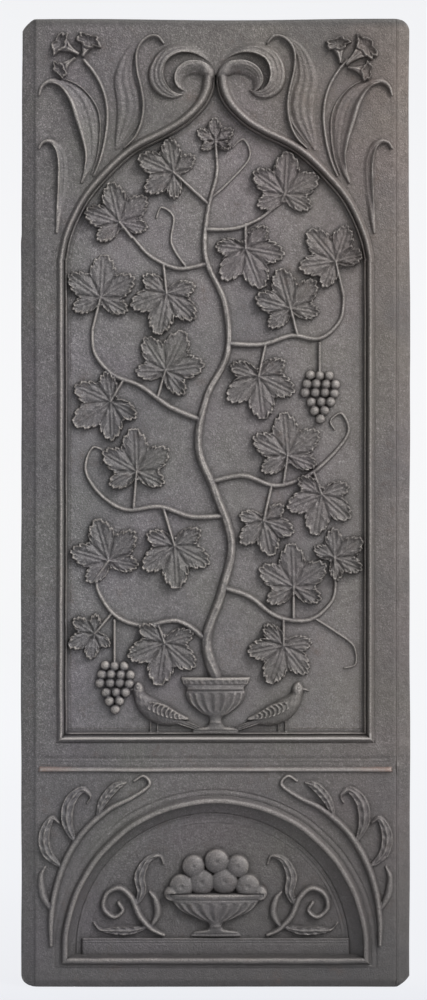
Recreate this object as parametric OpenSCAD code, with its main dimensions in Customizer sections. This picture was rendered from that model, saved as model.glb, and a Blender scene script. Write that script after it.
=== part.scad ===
/* [Plate] */
// Width of the plate
plate_w = 390; // [350:5:430]
// Thickness of the back plate, whose face is the floor of the lunette
base_t = 6; // [5:0.5:8]
// Width taken off each corner
corner_w = 13; // [8:1:14]
// Height taken off each corner
corner_h = 10; // [6:1:14]

/* [Border] */
// Thickness of the border boards on the back plate
border_t = 8; // [6:0.5:10]
// Width of the sloping strip down each long side
bevel_w = 14; // [13:0.5:16]
// How far the sloping strip falls to the outer edge
bevel_drop = 5; // [2:0.5:5.5]
// Height of the chamfer along the foot
foot_chamfer = 6; // [3:0.5:8]
// Height of the bottom rail
bottom_rail_h = 20; // [16:1:24]
// Width of the flat stile beside the upper panel
stile_w = 22.5; // [20:0.5:28]
// Height of the border between the point of the arch and the top of the plate
head_margin = 58; // [54:1:80]

/* [Upper panel] */
// Height of the upright beads, from the sill to where the arch springs
upright_h = 477; // [430:1:520]
// Rise of the ogee arch above its springing
arch_rise = 184; // [174:1:196]
// Thickness of the panel's ground board on the back plate
ground_t = 3; // [2:0.5:4]
// Half width of the upright and sill beads
bead_r = 3.5; // [3:0.1:4]
// How far the upright and sill beads stand above the ground board
bead_rise = 9; // [7:0.5:10]
// Half width of the ogee moulding
ogee_r = 4.5; // [4:0.1:5]
// How far the ogee moulding stands above the ground board
ogee_rise = 12; // [10:0.5:13]

/* [Rail] */
// Height from the middle of the cross bead to the middle of the panel's sill bead
rail_h = 31; // [26:1:40]
// Half width of the cross bead
cross_r = 2.6; // [2:0.1:3]
// How far the cross bead stands above the border
cross_rise = 3; // [2:0.5:4]
// How far each end of the cross bead stops short of the sloping strip
cross_gap = 4; // [2:1:10]

/* [Lunette] */
// Width of the border beside the lunette's flat band
lower_margin = 20; // [16:1:26]
// Height of the border between the middle of the rib's crown and the cross bead
crown_margin = 30.5; // [28:0.5:40]
// Height of the straight foot of the rib, from the bottom rail to the lunette's centre
stilt_h = 16.5; // [15:0.5:20]
// Half width of the rib
rib_r = 4; // [3.5:0.1:5]
// How far the rib stands above the border
rib_rise = 5; // [3:0.5:6]
// Width of the flat band outside the rib
band_w = 6; // [4:0.5:7]
// How far the flat band lies below the border
band_drop = 1.5; // [1:0.5:3]
// Width of the hollow band inside the rib
cove_w = 12; // [9:0.5:14]
// Height of the table ledge above the lunette's sill bead
ledge_h = 16; // [12:1:17]
// Gap between the table ledge's ends and the hollow band
ledge_gap = 0.2; // [0.1:0.1:0.6]
// How far the table ledge stands out of the lunette's floor
ledge_out = 3; // [2:0.5:5]

/* [Relief] */
// How high the strongest ornament stands above its ground
relief = 8; // [6:0.5:9]
// Size of a middling vine leaf from its middle to its tip
leaf_size = 35; // [30:0.5:36]
// Radius of a berry
berry_r = 5; // [4.4:0.1:5.4]

/* [Hidden] */

// Depths, counted from the back
ground_y = base_t + ground_t;
border_y = base_t + border_t;
band_y = border_y - band_drop;
foot_lean = 0.6;
back_y = (border_y - foot_chamfer * foot_lean) / 2;

// Distances from the middle of the plate
field_x = plate_w / 2 - bevel_w;
edge_x = field_x - stile_w;
panel_w = 2 * (edge_x - ogee_r);
outer_r = field_x - lower_margin;
lunette_r = outer_r - band_w - rib_r;

// Heights, counted from the foot
lunette_z = bottom_rail_h + stilt_h;
lower_sill_z = bottom_rail_h + band_w + rib_r * 0.625;
cross_z = lunette_z + lunette_r + crown_margin;
lower_top = cross_z - cross_r;
sill_z = cross_z + rail_h;
rail_top = sill_z - bead_r * 1.43;
spring_z = sill_z + upright_h;
plate_h = spring_z + arch_rise + head_margin;

iron_border = [0.42, 0.41, 0.40];
iron_ground = [0.36, 0.35, 0.35];
iron_relief = [0.48, 0.46, 0.44];

// Grids on which the ornament is laid out: half width and height of the panel with its arch, half width
// and rise of the arch, radius of the lunette, and height of the strongest relief
panel_grid = [154, 661];
head_grid = [154, 184];
round_grid = [151];
relief_grid = [8];

steps = 3;

// Puts what is drawn from the back face into place, with the middle of the foot at y = 0
module from_back() {
    translate([0, back_y, 0])
        children();
}

// Puts a flat outline, drawn as x and height, between two depths in front of the back
module slab(from, to) {
    from_back()
        rotate([90, 0, 0])
            translate([0, 0, from])
                linear_extrude(to - from)
                    children();
}

// Turns a solid drawn in x, height and depth to face the front
module face_front() {
    from_back()
        rotate([90, 0, 0])
            children();
}

module mirrored(side) {
    if (side < 0) children();
    else mirror([1, 0, 0]) children();
}

// One point of a smooth curve through four neighbours
function smooth(a, b, c, d, t) =
    0.5 * (2 * b + (c - a) * t + (2 * a - 5 * b + 4 * c - d) * t * t + (3 * b - a - 3 * c + d) * t * t * t);

// A smooth curve through hand-placed points
function curve(p, n = steps) = concat(
    [for (i = [0 : len(p) - 2], j = [0 : n - 1])
        smooth(p[max(i - 1, 0)], p[i], p[i + 1], p[min(i + 2, len(p) - 1)], j / n)],
    [p[len(p) - 1]]);

function unit(v) = v / norm(v);
function heading(p, i) =
    let (a = p[max(i - 1, 0)], b = p[min(i + 1, len(p) - 1)])
    unit([b[0] - a[0], b[1] - a[1]]);

// The line that runs beside a curve
function beside(p, off) = [for (i = [0 : len(p) - 1])
    let (t = heading(p, i)) [p[i][0] - t[1] * off, p[i][1] + t[0] * off]];

function reversed(p) = [for (i = [len(p) - 1 : -1 : 0]) p[i]];
function flipped(p) = [for (q = p) [-q[0], q[1]]];

// Cross section of a planted moulding: share of its half width, share of its height
round_section = [[-1, 0], [-0.72, 0.68], [0, 1], [0.72, 0.68], [1, 0]];
tube_section = [[-1, 0], [-1, 0.42], [-0.72, 0.82], [0, 1], [0.72, 0.82], [1, 0.42], [1, 0]];

// A swept moulding: each point holds x, height, half width and rise above the ground
module stroke(points, ground, section = round_section, n = steps) {
    p = curve(points, n);
    k = len(section);
    rings = [for (i = [0 : len(p) - 1])
        let (t = heading(p, i))
        for (s = section) [
            p[i][0] - t[1] * s[0] * p[i][2],
            p[i][1] + t[0] * s[0] * p[i][2],
            ground + s[1] * p[i][3]]];
    sides = [for (i = [0 : len(p) - 2], j = [0 : k - 1])
        let (a = i * k + j, b = i * k + (j + 1) % k, c = a + k, d = b + k)
        each [[a, b, d], [a, d, c]]];
    first = [for (j = [1 : k - 2]) [0, j + 1, j]];
    last_ring = (len(p) - 1) * k;
    last = [for (j = [1 : k - 2]) [last_ring, last_ring + j, last_ring + j + 1]];
    face_front()
        polyhedron(rings, concat(sides, first, last));
}

// A low round boss
module dome(x, z, r, rise, ground, sides = 8) {
    face_front()
        translate([x, z, ground])
            hull() {
                cylinder(r = r, h = rise * 0.4, $fn = sides);
                cylinder(r = r * 0.6, h = rise, $fn = sides);
            }
}

// Outline of a five-lobed leaf, as the share of its size at an angle from its tip
lobe_len = [1, 0.9, 0.7];
lobe_turn = 58;
function leaf_reach(a) = max(0.16, max([for (k = [-2 : 2])
    lobe_len[abs(k)] * (1 - 0.32 * pow(min(abs(a - lobe_turn * k) * 2 / lobe_turn, 1.9), 1.6))]));

// A cupped leaf, stretched with the panel: its rim stands high and its middle lies lower
module leaf(x, z, size, turn, rise, ground) {
    n = 24;
    flat = [for (i = [0 : n - 1])
        let (a = i * 360 / n - 180, r = size * leaf_reach(a))
        [x + r * cos(turn + a) * wide, z + r * sin(turn + a) * panel_tall]];
    points = concat(
        [for (q = flat) [q[0], q[1], ground]],
        [for (q = flat) [q[0], q[1], ground + rise]],
        [[x, z, ground + rise * 0.55], [x, z, ground]]);
    faces = [for (i = [0 : n - 1])
        let (j = (i + 1) % n)
        each [[i, n + i, n + j], [i, n + j, j], [n + i, 2 * n, n + j], [i, j, 2 * n + 1]]];
    face_front()
        polyhedron(points, faces);
}

// The stalk that carries a leaf or a bunch
module stalk(a, b, ground, r, rise) {
    face_front()
        hull()
            for (q = [a, b])
                translate([q[0], q[1], ground])
                    cylinder(r1 = r, r2 = r * 0.55, h = rise, $fn = 5);
}

// Where ornament of the head, the upper panel and the lunette lies on the plate
wide = panel_w / 2 / panel_grid[0];
head_tall = arch_rise / head_grid[1];
panel_tall = (upright_h + arch_rise) / panel_grid[1];
round_s = lunette_r / round_grid[0];
rise_s = relief / relief_grid[0];
function placed(p, wide, tall, foot) =
    [for (q = p) [q[0] * wide, foot + q[1] * tall, q[2] * wide, q[3] * rise_s]];
function on_head(p) = placed(p, wide, head_tall, spring_z);
function on_panel(p) = placed(p, wide, panel_tall, sill_z);
function on_round(p) = placed(p, round_s, round_s, lunette_z);

// ---- outlines of the plate and its fields ----

module plate_outline() {
    w = plate_w / 2;
    polygon([[-w, corner_h], [corner_w - w, 0], [w - corner_w, 0], [w, corner_h],
        [w, plate_h - corner_h], [w - corner_w, plate_h], [corner_w - w, plate_h], [-w, plate_h - corner_h]]);
}

// Middle line of the left half of the ogee moulding, from its springing to its point
ogee_drawn = [[-154, 1], [-150, 21], [-142, 42], [-129, 65], [-110, 87], [-91, 105], [-73, 117], [-50, 128.5],
    [-31, 140], [-16, 155], [-8.5, 170], [-6.5, 184]];
ogee_line = concat([[-panel_w / 2, spring_z]],
    [for (q = curve(on_head([for (p = ogee_drawn) [p[0], p[1], 0, 0]]), 2)) [q[0], q[1]]]);
ogee_outer = beside(ogee_line, ogee_r);

module head_outline() {
    polygon(concat(ogee_outer, [[0, ogee_outer[len(ogee_outer) - 1][1]], [0, plate_h], [-field_x, plate_h],
        [-field_x, spring_z]]));
}

module panel_outline() {
    side = concat([[-edge_x, rail_top], [-edge_x, spring_z]], ogee_outer);
    polygon(concat(side, reversed(flipped(side))));
}

module lunette_outline(grow) {
    translate([0, lunette_z])
        circle(r = lunette_r + grow, $fn = 96);
    translate([-lunette_r - grow, bottom_rail_h])
        square([2 * (lunette_r + grow), lunette_z - bottom_rail_h]);
}

module lower_outline() {
    difference() {
        translate([-field_x, bottom_rail_h])
            square([field_x, lower_top - bottom_rail_h]);
        lunette_outline(rib_r + band_w);
    }
}

// ---- boards ----

module back_plate() {
    color(iron_border)
        slab(0, base_t)
            plate_outline();
}

module panel_ground() {
    color(iron_ground)
        slab(base_t, ground_y)
            panel_outline();
}

module edge_bevel(side) {
    color(iron_border)
        mirrored(side)
            intersection() {
                slab(base_t, border_y)
                    plate_outline();
                from_back()
                    linear_extrude(plate_h)
                        polygon([[-plate_w / 2, -base_t], [-field_x, -base_t], [-field_x, -border_y],
                            [-plate_w / 2, bevel_drop - border_y]]);
            }
}

module stile(side) {
    color(iron_border)
        mirrored(side)
            slab(base_t, border_y)
                translate([-field_x, rail_top])
                    square([field_x - edge_x, spring_z - rail_top]);
}

module head_board(side) {
    color(iron_border)
        mirrored(side)
            slab(base_t, border_y)
                intersection() {
                    head_outline();
                    plate_outline();
                }
}

module middle_rail() {
    color(iron_border)
        slab(base_t, border_y)
            translate([-field_x, lower_top])
                square([2 * field_x, rail_top - lower_top]);
}

module lower_board(side) {
    color(iron_border)
        mirrored(side)
            slab(base_t, border_y)
                lower_outline();
}

module bottom_rail() {
    color(iron_border)
        intersection() {
            slab(base_t, border_y)
                plate_outline();
            from_back()
                rotate([90, 0, 90])
                    translate([0, 0, -field_x])
                        linear_extrude(2 * field_x)
                            polygon([[-base_t, 0], [-base_t, bottom_rail_h], [-border_y, bottom_rail_h],
                                [-border_y, foot_chamfer], [-border_y + foot_chamfer * foot_lean, 0]]);
        }
}

// ---- mouldings of the upper panel ----

function bead_profile(r, from, to) = [[-r, from], [-r, to - r * 0.8], [-r * 0.72, to - r * 0.25], [0, to],
    [r * 0.72, to - r * 0.25], [r, to - r * 0.8], [r, from]];

module upright_bead(side) {
    color(iron_relief)
        mirrored(side)
            from_back()
                translate([-panel_w / 2, 0, sill_z + bead_r])
                    linear_extrude(upright_h - bead_r)
                        polygon([for (q = bead_profile(bead_r, ground_y, ground_y + bead_rise))
                            [q[0], -q[1]]]);
}

module bar_across(half, z, r, from, to) {
    from_back()
        translate([-half, 0, z])
            rotate([90, 0, 90])
                linear_extrude(2 * half)
                    polygon([for (q = bead_profile(r, from, to)) [-q[1], q[0]]]);
}

module sill_bead() {
    color(iron_relief)
        bar_across(panel_w / 2 + bead_r, sill_z, bead_r, ground_y, ground_y + bead_rise);
}

module ogee_moulding(side) {
    color(iron_relief)
        mirrored(side)
            stroke([for (i = [0 : len(ogee_line) - 1])
                [ogee_line[i][0], ogee_line[i][1], bead_r + (ogee_r - bead_r) * i / (len(ogee_line) - 1),
                    ogee_rise]], ground_y, tube_section, 1);
}

module cross_bead() {
    color(iron_relief)
        bar_across(field_x - cross_gap, cross_z, cross_r, border_y, border_y + cross_rise);
}

// ---- ornament of the head ----

volute_line = [[-6.5, 185.2, 4.8, 7], [-7.1, 187.4, 5.4, 7.5], [-12.6, 190.6, 6.6, 8], [-19.5, 191.8, 7.2, 8],
    [-27, 191, 7.2, 8], [-33.4, 187, 6.5, 7.5], [-36.2, 181.4, 5.4, 7], [-35.8, 175.6, 4, 5.5],
    [-33.4, 171.4, 2.2, 4], [-31, 169.2, 1, 3]];
hook_line = [[-4.4, 197.2, 1.4, 3], [-9.8, 202.8, 2.8, 4], [-20, 209.3, 4, 5], [-32.4, 212, 5.2, 6],
    [-43.3, 210, 6.3, 7], [-52, 204.4, 6.8, 7], [-57.2, 196.5, 7, 7.5], [-59.6, 186.8, 7.5, 7.5],
    [-58, 177, 7.4, 7], [-52.8, 169.8, 6.4, 6.5], [-45.6, 165.2, 4.5, 5.5], [-38.5, 164, 2.6, 4],
    [-33, 165, 1.1, 3]];
blade_line = [[-99, 113, 2, 3], [-92, 126, 8, 4], [-86, 145, 13, 5], [-87, 162, 13.5, 5], [-90, 180, 11, 5],
    [-87, 197, 8, 5], [-81, 211, 5, 5], [-72, 219, 3, 5], [-61, 222, 2, 4], [-54, 218, 1.2, 3]];
lily_line = [[-131, 199, 1.8, 4], [-122, 188, 1.8, 4], [-113.5, 173, 1.8, 4], [-108.8, 156, 1.7, 3.5],
    [-108, 139, 1.7, 3.5], [-110.5, 119, 1.6, 3], [-115.5, 99, 1.4, 3], [-121.5, 84.5, 1.2, 2]];
upper_leaf_line = [[-176, 165, 1.2, 3], [-173, 173.5, 1.8, 4], [-165, 178.5, 2.6, 5], [-155, 177, 4, 6],
    [-144.5, 170, 7, 7], [-135, 158, 10.2, 7], [-129, 142, 11.2, 6.5], [-125.5, 122, 8.4, 5.5],
    [-125, 105, 5.2, 4.5], [-128.5, 90, 3.2, 3.4], [-133.5, 78, 1.4, 2.4]];
lower_leaf_line = [[-176, 112, 1.2, 3], [-172, 117.5, 1.6, 4], [-164.5, 118.5, 2.4, 5], [-157, 112, 3.8, 5],
    [-153, 99.5, 4.8, 5], [-152.5, 84, 5, 5], [-154, 64, 4.2, 4.4], [-156.5, 44, 2.8, 3.6],
    [-158.5, 28, 1.4, 2.4]];

// Each trumpet runs from the stem's head to its wide mouth
trumpet_lines = [
    [[-132.5, 203, 2, 4], [-130.5, 209, 3.6, 5], [-128, 214.5, 7.6, 6], [-126.5, 219, 11.5, 7]],
    [[-136.5, 205, 2, 4], [-144, 208.5, 4, 5], [-151, 213, 8, 6], [-156, 216.5, 11, 7]],
    [[-140, 201.5, 2, 4], [-148, 200.5, 5, 5], [-153.5, 195, 7.6, 6], [-156, 189.5, 8.6, 7]]];

module head_stroke(side, line) {
    color(iron_relief)
        mirrored(side)
            stroke(on_head(line), border_y);
}

module lily_flowers(side) {
    color(iron_relief)
        mirrored(side)
            for (line = trumpet_lines)
                stroke(on_head(line), border_y);
}

// ---- lunette ----

// Rib with the flat band outside it, as radius and depth
function rib_profile() = let (top = border_y + rib_rise) [
    [lunette_r - rib_r, base_t], [lunette_r - rib_r, top - rib_r * 0.8], [lunette_r - rib_r * 0.6, top - 0.8],
    [lunette_r, top], [lunette_r + rib_r * 0.6, top - 0.8], [lunette_r + rib_r, top - rib_r * 0.8],
    [lunette_r + rib_r, band_y], [outer_r, band_y], [outer_r, base_t]];

// Hollow band from the rib down to the lunette's floor
function cove_profile() = let (r = lunette_r - rib_r, top = border_y + 1) [
    [r - cove_w, base_t], [r, base_t], [r, top], [r - cove_w * 0.35, top - (top - base_t) * 0.55],
    [r - cove_w * 0.7, top - (top - base_t) * 0.8], [r - cove_w, base_t + 0.8]];

// A profile carried round the left quarter and down to the lunette's sill
module quarter(profile, foot) {
    from_back()
        union() {
            translate([0, 0, lunette_z])
                rotate([90, 0, 0])
                    rotate([0, 0, 90])
                        rotate_extrude(angle = 90, $fn = 96)
                            polygon(profile);
            translate([0, 0, foot])
                linear_extrude(lunette_z - foot)
                    polygon([for (q = profile) [-q[0], -q[1]]]);
        }
}

module lunette_rib(side) {
    color(iron_relief)
        mirrored(side)
            quarter(rib_profile(), bottom_rail_h);
}

module lunette_cove(side) {
    color(iron_border)
        mirrored(side)
            quarter(cove_profile(), lower_sill_z + rib_r);
}

// The sill bead with the flat band below it
module lunette_sill() {
    half = lunette_r - rib_r;
    color(iron_relief)
        union() {
            bar_across(half, lower_sill_z, rib_r, base_t, border_y + rib_rise);
            slab(base_t, band_y)
                translate([-half, bottom_rail_h])
                    square([2 * half, lower_sill_z - bottom_rail_h]);
        }
}

module table_ledge() {
    from = lower_sill_z + rib_r;
    inner_r = lunette_r - rib_r - cove_w;
    half = sqrt(inner_r * inner_r - pow(from + ledge_h - lunette_z, 2)) - ledge_gap;
    color(iron_border)
        slab(base_t, base_t + ledge_out)
            translate([-half, from])
                square([2 * half, ledge_h]);
}

// ---- generic ornament of the upper panel ----

trunk_line = [[0, 62, 6, 7], [-9, 98, 5, 7], [6, 145, 4.6, 7], [16, 195, 4.4, 7], [0, 245, 4.2, 6.5],
    [-17, 290, 4, 6.5], [-9, 340, 3.8, 6], [12, 385, 3.5, 6], [9, 435, 3.2, 5.5], [-10, 480, 3, 5],
    [-8, 525, 2.6, 4.5], [1, 562, 2.2, 4], [1, 582, 1.6, 3]];

// Half width of a vein and of a stalk, and how high a leaf stands
leaf_form = [1.6, 2, 7];

// A branch: its stem, its tendrils, and its leaves as x, height, size, turn, and where the stalk starts
low_left = [
    [[[-9, 98, 3.2, 5], [-38, 117, 3, 5], [-72, 112, 2.8, 4.5], [-100, 122, 2.6, 4.5], [-117, 146, 2.2, 4],
        [-119, 164, 1.8, 3.5]]],
    [[-51, 95, 1.2, 261, -58, 114], [-121, 104, 0.8, 203, -104, 124], [-107, 177, 1.2, 106, -119, 160]]];
low_right = [
    [[[8, 150, 3.2, 5], [34, 141, 3, 5], [62, 121, 2.8, 4.5], [94, 118, 2.6, 4.5], [116, 136, 2.2, 4],
        [120, 154, 1.8, 3.5]],
     [[100, 119, 1.6, 3.5], [120, 106, 1.4, 3], [138, 92, 1.3, 3], [140, 74, 1.2, 3], [129, 70, 1, 2.5]]],
    [[68, 92, 1.12, 250, 68, 119], [119, 180, 0.92, 35, 120, 152], [78, 151, 1.2, 92, 78, 120]]];
middle_left = [
    [[[9, 222, 3.2, 5], [-24, 221, 3, 5], [-56, 231, 2.8, 4.5], [-90, 228, 2.6, 4.5], [-116, 244, 2.2, 4],
        [-130, 268, 1.8, 3.5], [-123, 290, 1.5, 3], [-110, 284, 1.3, 3], [-114, 274, 1, 2.5]]],
    [[-41, 192, 1.2, 273, -52, 229], [-79, 266, 1.2, 92, -82, 229]]];
middle_right = [
    [[[-4, 256, 3.2, 5], [28, 262, 3, 5], [60, 252, 2.8, 4.5], [92, 262, 2.6, 4.5], [118, 284, 2.2, 4],
        [133, 306, 1.8, 3.5], [126, 324, 1.4, 3], [115, 317, 1.2, 3], [119, 308, 1, 2.5]]],
    [[48, 217, 1, 282, 56, 252], [106, 243, 1.14, 260, 98, 266], [72, 282, 1.2, 95, 68, 254]]];
high_left = [
    [[[-16, 318, 3.2, 5], [-46, 331, 3, 5], [-76, 352, 2.8, 4.5], [-103, 363, 2.6, 4.5], [-121, 385, 2.2, 4],
        [-123, 410, 1.8, 3.5]]],
    [[-50, 367, 1.2, 65, -58, 340], [-105, 336, 1.2, 214, -92, 358], [-115, 440, 1.2, 87, -123, 408]]];
high_right = [
    [[[13, 394, 3.2, 5], [46, 393, 3, 5], [76, 402, 2.8, 4.5], [104, 399, 2.6, 4.5], [125, 418, 2.2, 4],
        [128, 446, 1.8, 3.5]]],
    [[43, 361, 1.2, 276, 50, 393], [75, 429, 1.14, 106, 82, 402], [120, 476, 1.14, 130, 128, 442]]];
crown = [
    [[[-8, 474, 2.8, 4.5], [-38, 469, 2.5, 4.5], [-66, 482, 2.2, 4], [-84, 502, 1.8, 3.5]],
     [[-9, 508, 2.6, 4.5], [20, 509, 2.4, 4.5], [46, 520, 2.2, 4], [66, 538, 1.8, 3.5]],
     [[-6, 538, 1.8, 3.5], [14, 556, 1.6, 3.5], [34, 580, 1.4, 3], [28, 598, 1.3, 3], [17, 590, 1, 2.5]],
     [[-30, 471, 1.6, 3.5], [-44, 494, 1.5, 3.5], [-42, 520, 1.4, 3], [-54, 530, 1.2, 3],
        [-59, 520, 1, 2.5]]],
    [[-49, 444, 1.17, 259, -52, 473], [-96, 515, 1.13, 104, -84, 500], [30, 489, 1.2, 291, 30, 513],
        [69, 543, 1.18, 87, 66, 536], [-42, 565, 1.06, 156, -8, 534], [0, 596, 0.66, 92, 1, 580]]];

module urn() {
    profile = [[0, 3.5, 24, 5], [0, 9, 22, 6], [0, 12, 9, 6], [0, 20, 7, 6], [0, 25, 15, 7], [0, 34, 26, 8],
        [0, 44, 30, 9], [0, 50, 29, 9], [0, 54, 33, 9], [0, 61, 35, 8]];
    color(iron_relief)
        stroke(on_panel(profile), ground_y);
}

module trunk_shape() {
    stroke(on_panel(trunk_line), ground_y);
}

module vine_trunk() {
    color(iron_relief)
        difference() {
            trunk_shape();
            urn();
        }
}

// A leaf with its stalk and five raised veins
module veined_leaf(spec) {
    at = on_panel([[spec[0], spec[1], leaf_form[0], leaf_form[2]],
        [spec[4], spec[5], leaf_form[1], leaf_form[2]]]);
    size = spec[2] * leaf_size;
    rise = at[0][3];
    leaf(at[0][0], at[0][1], size, spec[3], rise, ground_y);
    stalk(at[1], at[0], ground_y, at[1][2], rise);
    for (k = [-2 : 2]) {
        turn = spec[3] + lobe_turn * k;
        reach = size * lobe_len[abs(k)] * 0.86;
        tip = [at[0][0] + reach * cos(turn) * wide, at[0][1] + reach * sin(turn) * panel_tall];
        stalk(at[0], tip, ground_y, at[0][2], rise * 0.95);
    }
}

module branch(spec) {
    color(iron_relief)
        difference() {
            union() {
                for (line = spec[0])
                    stroke(on_panel(line), ground_y, n = 2);
                for (one = spec[1])
                    veined_leaf(one);
            }
            trunk_shape();
        }
}

// A hanging bunch: rows of berries that narrow downwards, below a short stalk
berry_rows = [3, 4, 4, 3, 2, 1];
left_bunch = [[-101, 72, 1.6, 5], [-101, 117.5, 1.6, 5]];
right_bunch = [[104, 362, 1.6, 5], [104, 394.2, 1.6, 5]];

module berries(bunch) {
    at = on_panel(bunch);
    color(iron_relief)
        union() {
            for (row = [0 : len(berry_rows) - 1], i = [0 : berry_rows[row] - 1])
                dome(at[0][0] + (i - (berry_rows[row] - 1) / 2) * berry_r * 1.9 + (row % 2) * berry_r * 0.24,
                    at[0][1] - row * berry_r * 1.75, berry_r, relief, ground_y);
            stalk(at[1], at[0], ground_y, at[0][2], at[0][3]);
        }
}

// How far each bird's middle stands from the middle of the panel
left_perch = [61];
right_perch = [66];

module bird(side, perch) {
    x = -perch[0];
    body = [[-34, 14, 2.4, 3], [-24, 17, 4, 5], [-12, 21, 9, 8], [0, 27, 11, 9], [10, 35, 8.5, 8],
        [15, 43, 5.5, 7], [16, 49, 5.6, 7.5], [16.5, 53.5, 2.4, 5]];
    wing = [[-32, 19, 1.5, 6], [-20, 23, 4, 9], [-8, 28, 6, 10.5], [3, 32, 4.5, 10], [8, 34, 1.5, 8]];
    beak = [[17, 49, 2.4, 4.5], [23, 48.4, 1.4, 3.5], [27, 47, 0.6, 2]];
    color(iron_relief)
        for (line = [body, wing, beak])
            bird_stroke(side, x, line);
    color(iron_relief)
        for (foot = [-3, 4]) {
            bird_limb(side, x, [foot, 17], [foot, 5.5]);
            for (toe = [-3, 1, 5])
                bird_limb(side, x, [foot, 6], [foot + toe, 4.6]);
        }
}

module bird_stroke(side, x, line) {
    stroke(on_panel([for (q = line) [-side * (q[0] + x), q[1], q[2], q[3]]]), ground_y);
}

module bird_limb(side, x, a, b) {
    ends = on_panel([for (q = [a, b]) [-side * (q[0] + x), q[1], 1, 3]]);
    stalk(ends[0], ends[1], ground_y, ends[0][2], ends[0][3]);
}

// ---- generic ornament of the lunette and its shoulders ----

module bowl_shape() {
    profile = [[0, 13, 26, 4], [0, 18, 22, 5], [0, 21, 9, 6], [0, 27, 8, 7], [0, 32, 20, 8], [0, 40, 36, 10],
        [0, 49, 44, 11], [0, 52, 48, 11], [0, 57, 49, 10]];
    stroke(on_round(profile), base_t);
}

module fruit_bowl() {
    color(iron_relief)
        difference() {
            bowl_shape();
            table_ledge();
        }
}

// Fruit as x, height, radius
fruit_at = [[-34, 64, 13], [-14, 68, 14], [9, 69, 14], [32, 64, 13], [-22, 84, 12], [1, 89, 13], [22, 84, 12],
    [-44, 57, 8], [44, 57, 8]];

module bowl_fruit() {
    color(iron_relief)
        difference() {
            for (q = on_round([for (f = fruit_at) [f[0], f[1], f[2], 10]]))
                dome(q[0], q[1], q[2], q[3], base_t);
            bowl_shape();
        }
}

// Several strokes with round ends, as one ornament
module spray(lines, ground) {
    color(iron_relief)
        for (line = lines) {
            stroke(line, ground, n = 2);
            for (q = [line[0], line[len(line) - 1]])
                dome(q[0], q[1], q[2] * 1.15, q[3], ground);
        }
}

scroll_lines = [
    [[-52, 15, 2, 5], [-64, 21, 3, 6], [-76, 34, 3.5, 6], [-84, 52, 3.4, 6], [-96, 62, 3.2, 6],
        [-109, 56, 3, 5.5], [-112, 42, 2.8, 5], [-102, 33, 2.6, 5], [-93, 39, 2.4, 5], [-97, 47, 2.2, 5]],
    [[-80, 44, 2, 4], [-74, 58, 5, 6], [-76, 74, 6, 6], [-68, 90, 4, 5], [-56, 94, 2, 4], [-52, 86, 1.5, 3]],
    [[-68, 23, 2, 4], [-84, 19.5, 4.5, 5.5], [-100, 19.5, 4.5, 5.5], [-115, 20, 2, 4], [-122, 27, 1.4, 3]],
    [[-64, 24, 2, 4], [-58, 36, 4, 5], [-60, 50, 3.5, 5], [-66, 58, 1.5, 3]]];

spray_lines = [
    [[-164, 6, 2, 4], [-164, 30, 3.2, 5], [-160, 60, 3.6, 6], [-149, 92, 3.8, 6], [-131, 120, 3.6, 6],
        [-106, 142, 3.2, 5], [-84, 153, 2.6, 4], [-66, 166, 2, 4], [-72, 175, 1.6, 3.5], [-81, 170, 1.4, 3]],
    [[-154, 84, 2, 4], [-168, 98, 5.5, 6], [-171, 116, 6, 6], [-164, 132, 3.5, 5], [-156, 128, 1.6, 3.5]],
    [[-140, 108, 2, 4], [-148, 128, 6, 6], [-146, 148, 6.5, 6], [-134, 161, 4, 5], [-125, 155, 1.8, 3.5],
        [-128, 148, 1.4, 3]],
    [[-118, 133, 2, 4], [-112, 150, 5, 6], [-100, 164, 5, 6], [-90, 168, 1.8, 3.5]],
    [[-163, 40, 2, 4], [-172, 56, 4, 5], [-174, 74, 3, 4.5], [-170, 84, 1.4, 3]]];

module lunette_scroll(side) {
    mirrored(side)
        spray([for (line = scroll_lines) on_round(line)], base_t);
}

module shoulder_spray(side) {
    mirrored(side)
        spray([for (line = spray_lines) on_round(line)], border_y);
}

back_plate();
panel_ground();
edge_bevel(-1);  // left_edge_bevel
edge_bevel(1);  // right_edge_bevel
stile(-1);  // left_stile
stile(1);  // right_stile
head_board(-1);  // left_head_board
head_board(1);  // right_head_board
middle_rail();
lower_board(-1);  // left_lower_board
lower_board(1);  // right_lower_board
bottom_rail();
upright_bead(-1);  // left_upright_bead
upright_bead(1);  // right_upright_bead
sill_bead();
ogee_moulding(-1);  // left_ogee_moulding
ogee_moulding(1);  // right_ogee_moulding
head_stroke(-1, volute_line);  // left_volute
head_stroke(1, volute_line);  // right_volute
head_stroke(-1, hook_line);  // left_hook_leaf
head_stroke(1, hook_line);  // right_hook_leaf
head_stroke(-1, blade_line);  // left_blade_leaf
head_stroke(1, blade_line);  // right_blade_leaf
head_stroke(-1, lily_line);  // left_lily_stem
head_stroke(1, lily_line);  // right_lily_stem
lily_flowers(-1);  // left_lily_flowers
lily_flowers(1);  // right_lily_flowers
head_stroke(-1, upper_leaf_line);  // left_upper_leaf
head_stroke(1, upper_leaf_line);  // right_upper_leaf
head_stroke(-1, lower_leaf_line);  // left_lower_leaf
head_stroke(1, lower_leaf_line);  // right_lower_leaf
cross_bead();
lunette_rib(-1);  // left_lunette_rib
lunette_rib(1);  // right_lunette_rib
lunette_cove(-1);  // left_lunette_cove
lunette_cove(1);  // right_lunette_cove
lunette_sill();
table_ledge();
urn();
vine_trunk();
branch(low_left);  // left_low_branch
branch(low_right);  // right_low_branch
branch(middle_left);  // left_middle_branch
branch(middle_right);  // right_middle_branch
branch(high_left);  // left_high_branch
branch(high_right);  // right_high_branch
branch(crown);  // crown_branch
berries(left_bunch);  // left_berries
berries(right_bunch);  // right_berries
bird(-1, left_perch);  // left_bird
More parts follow.
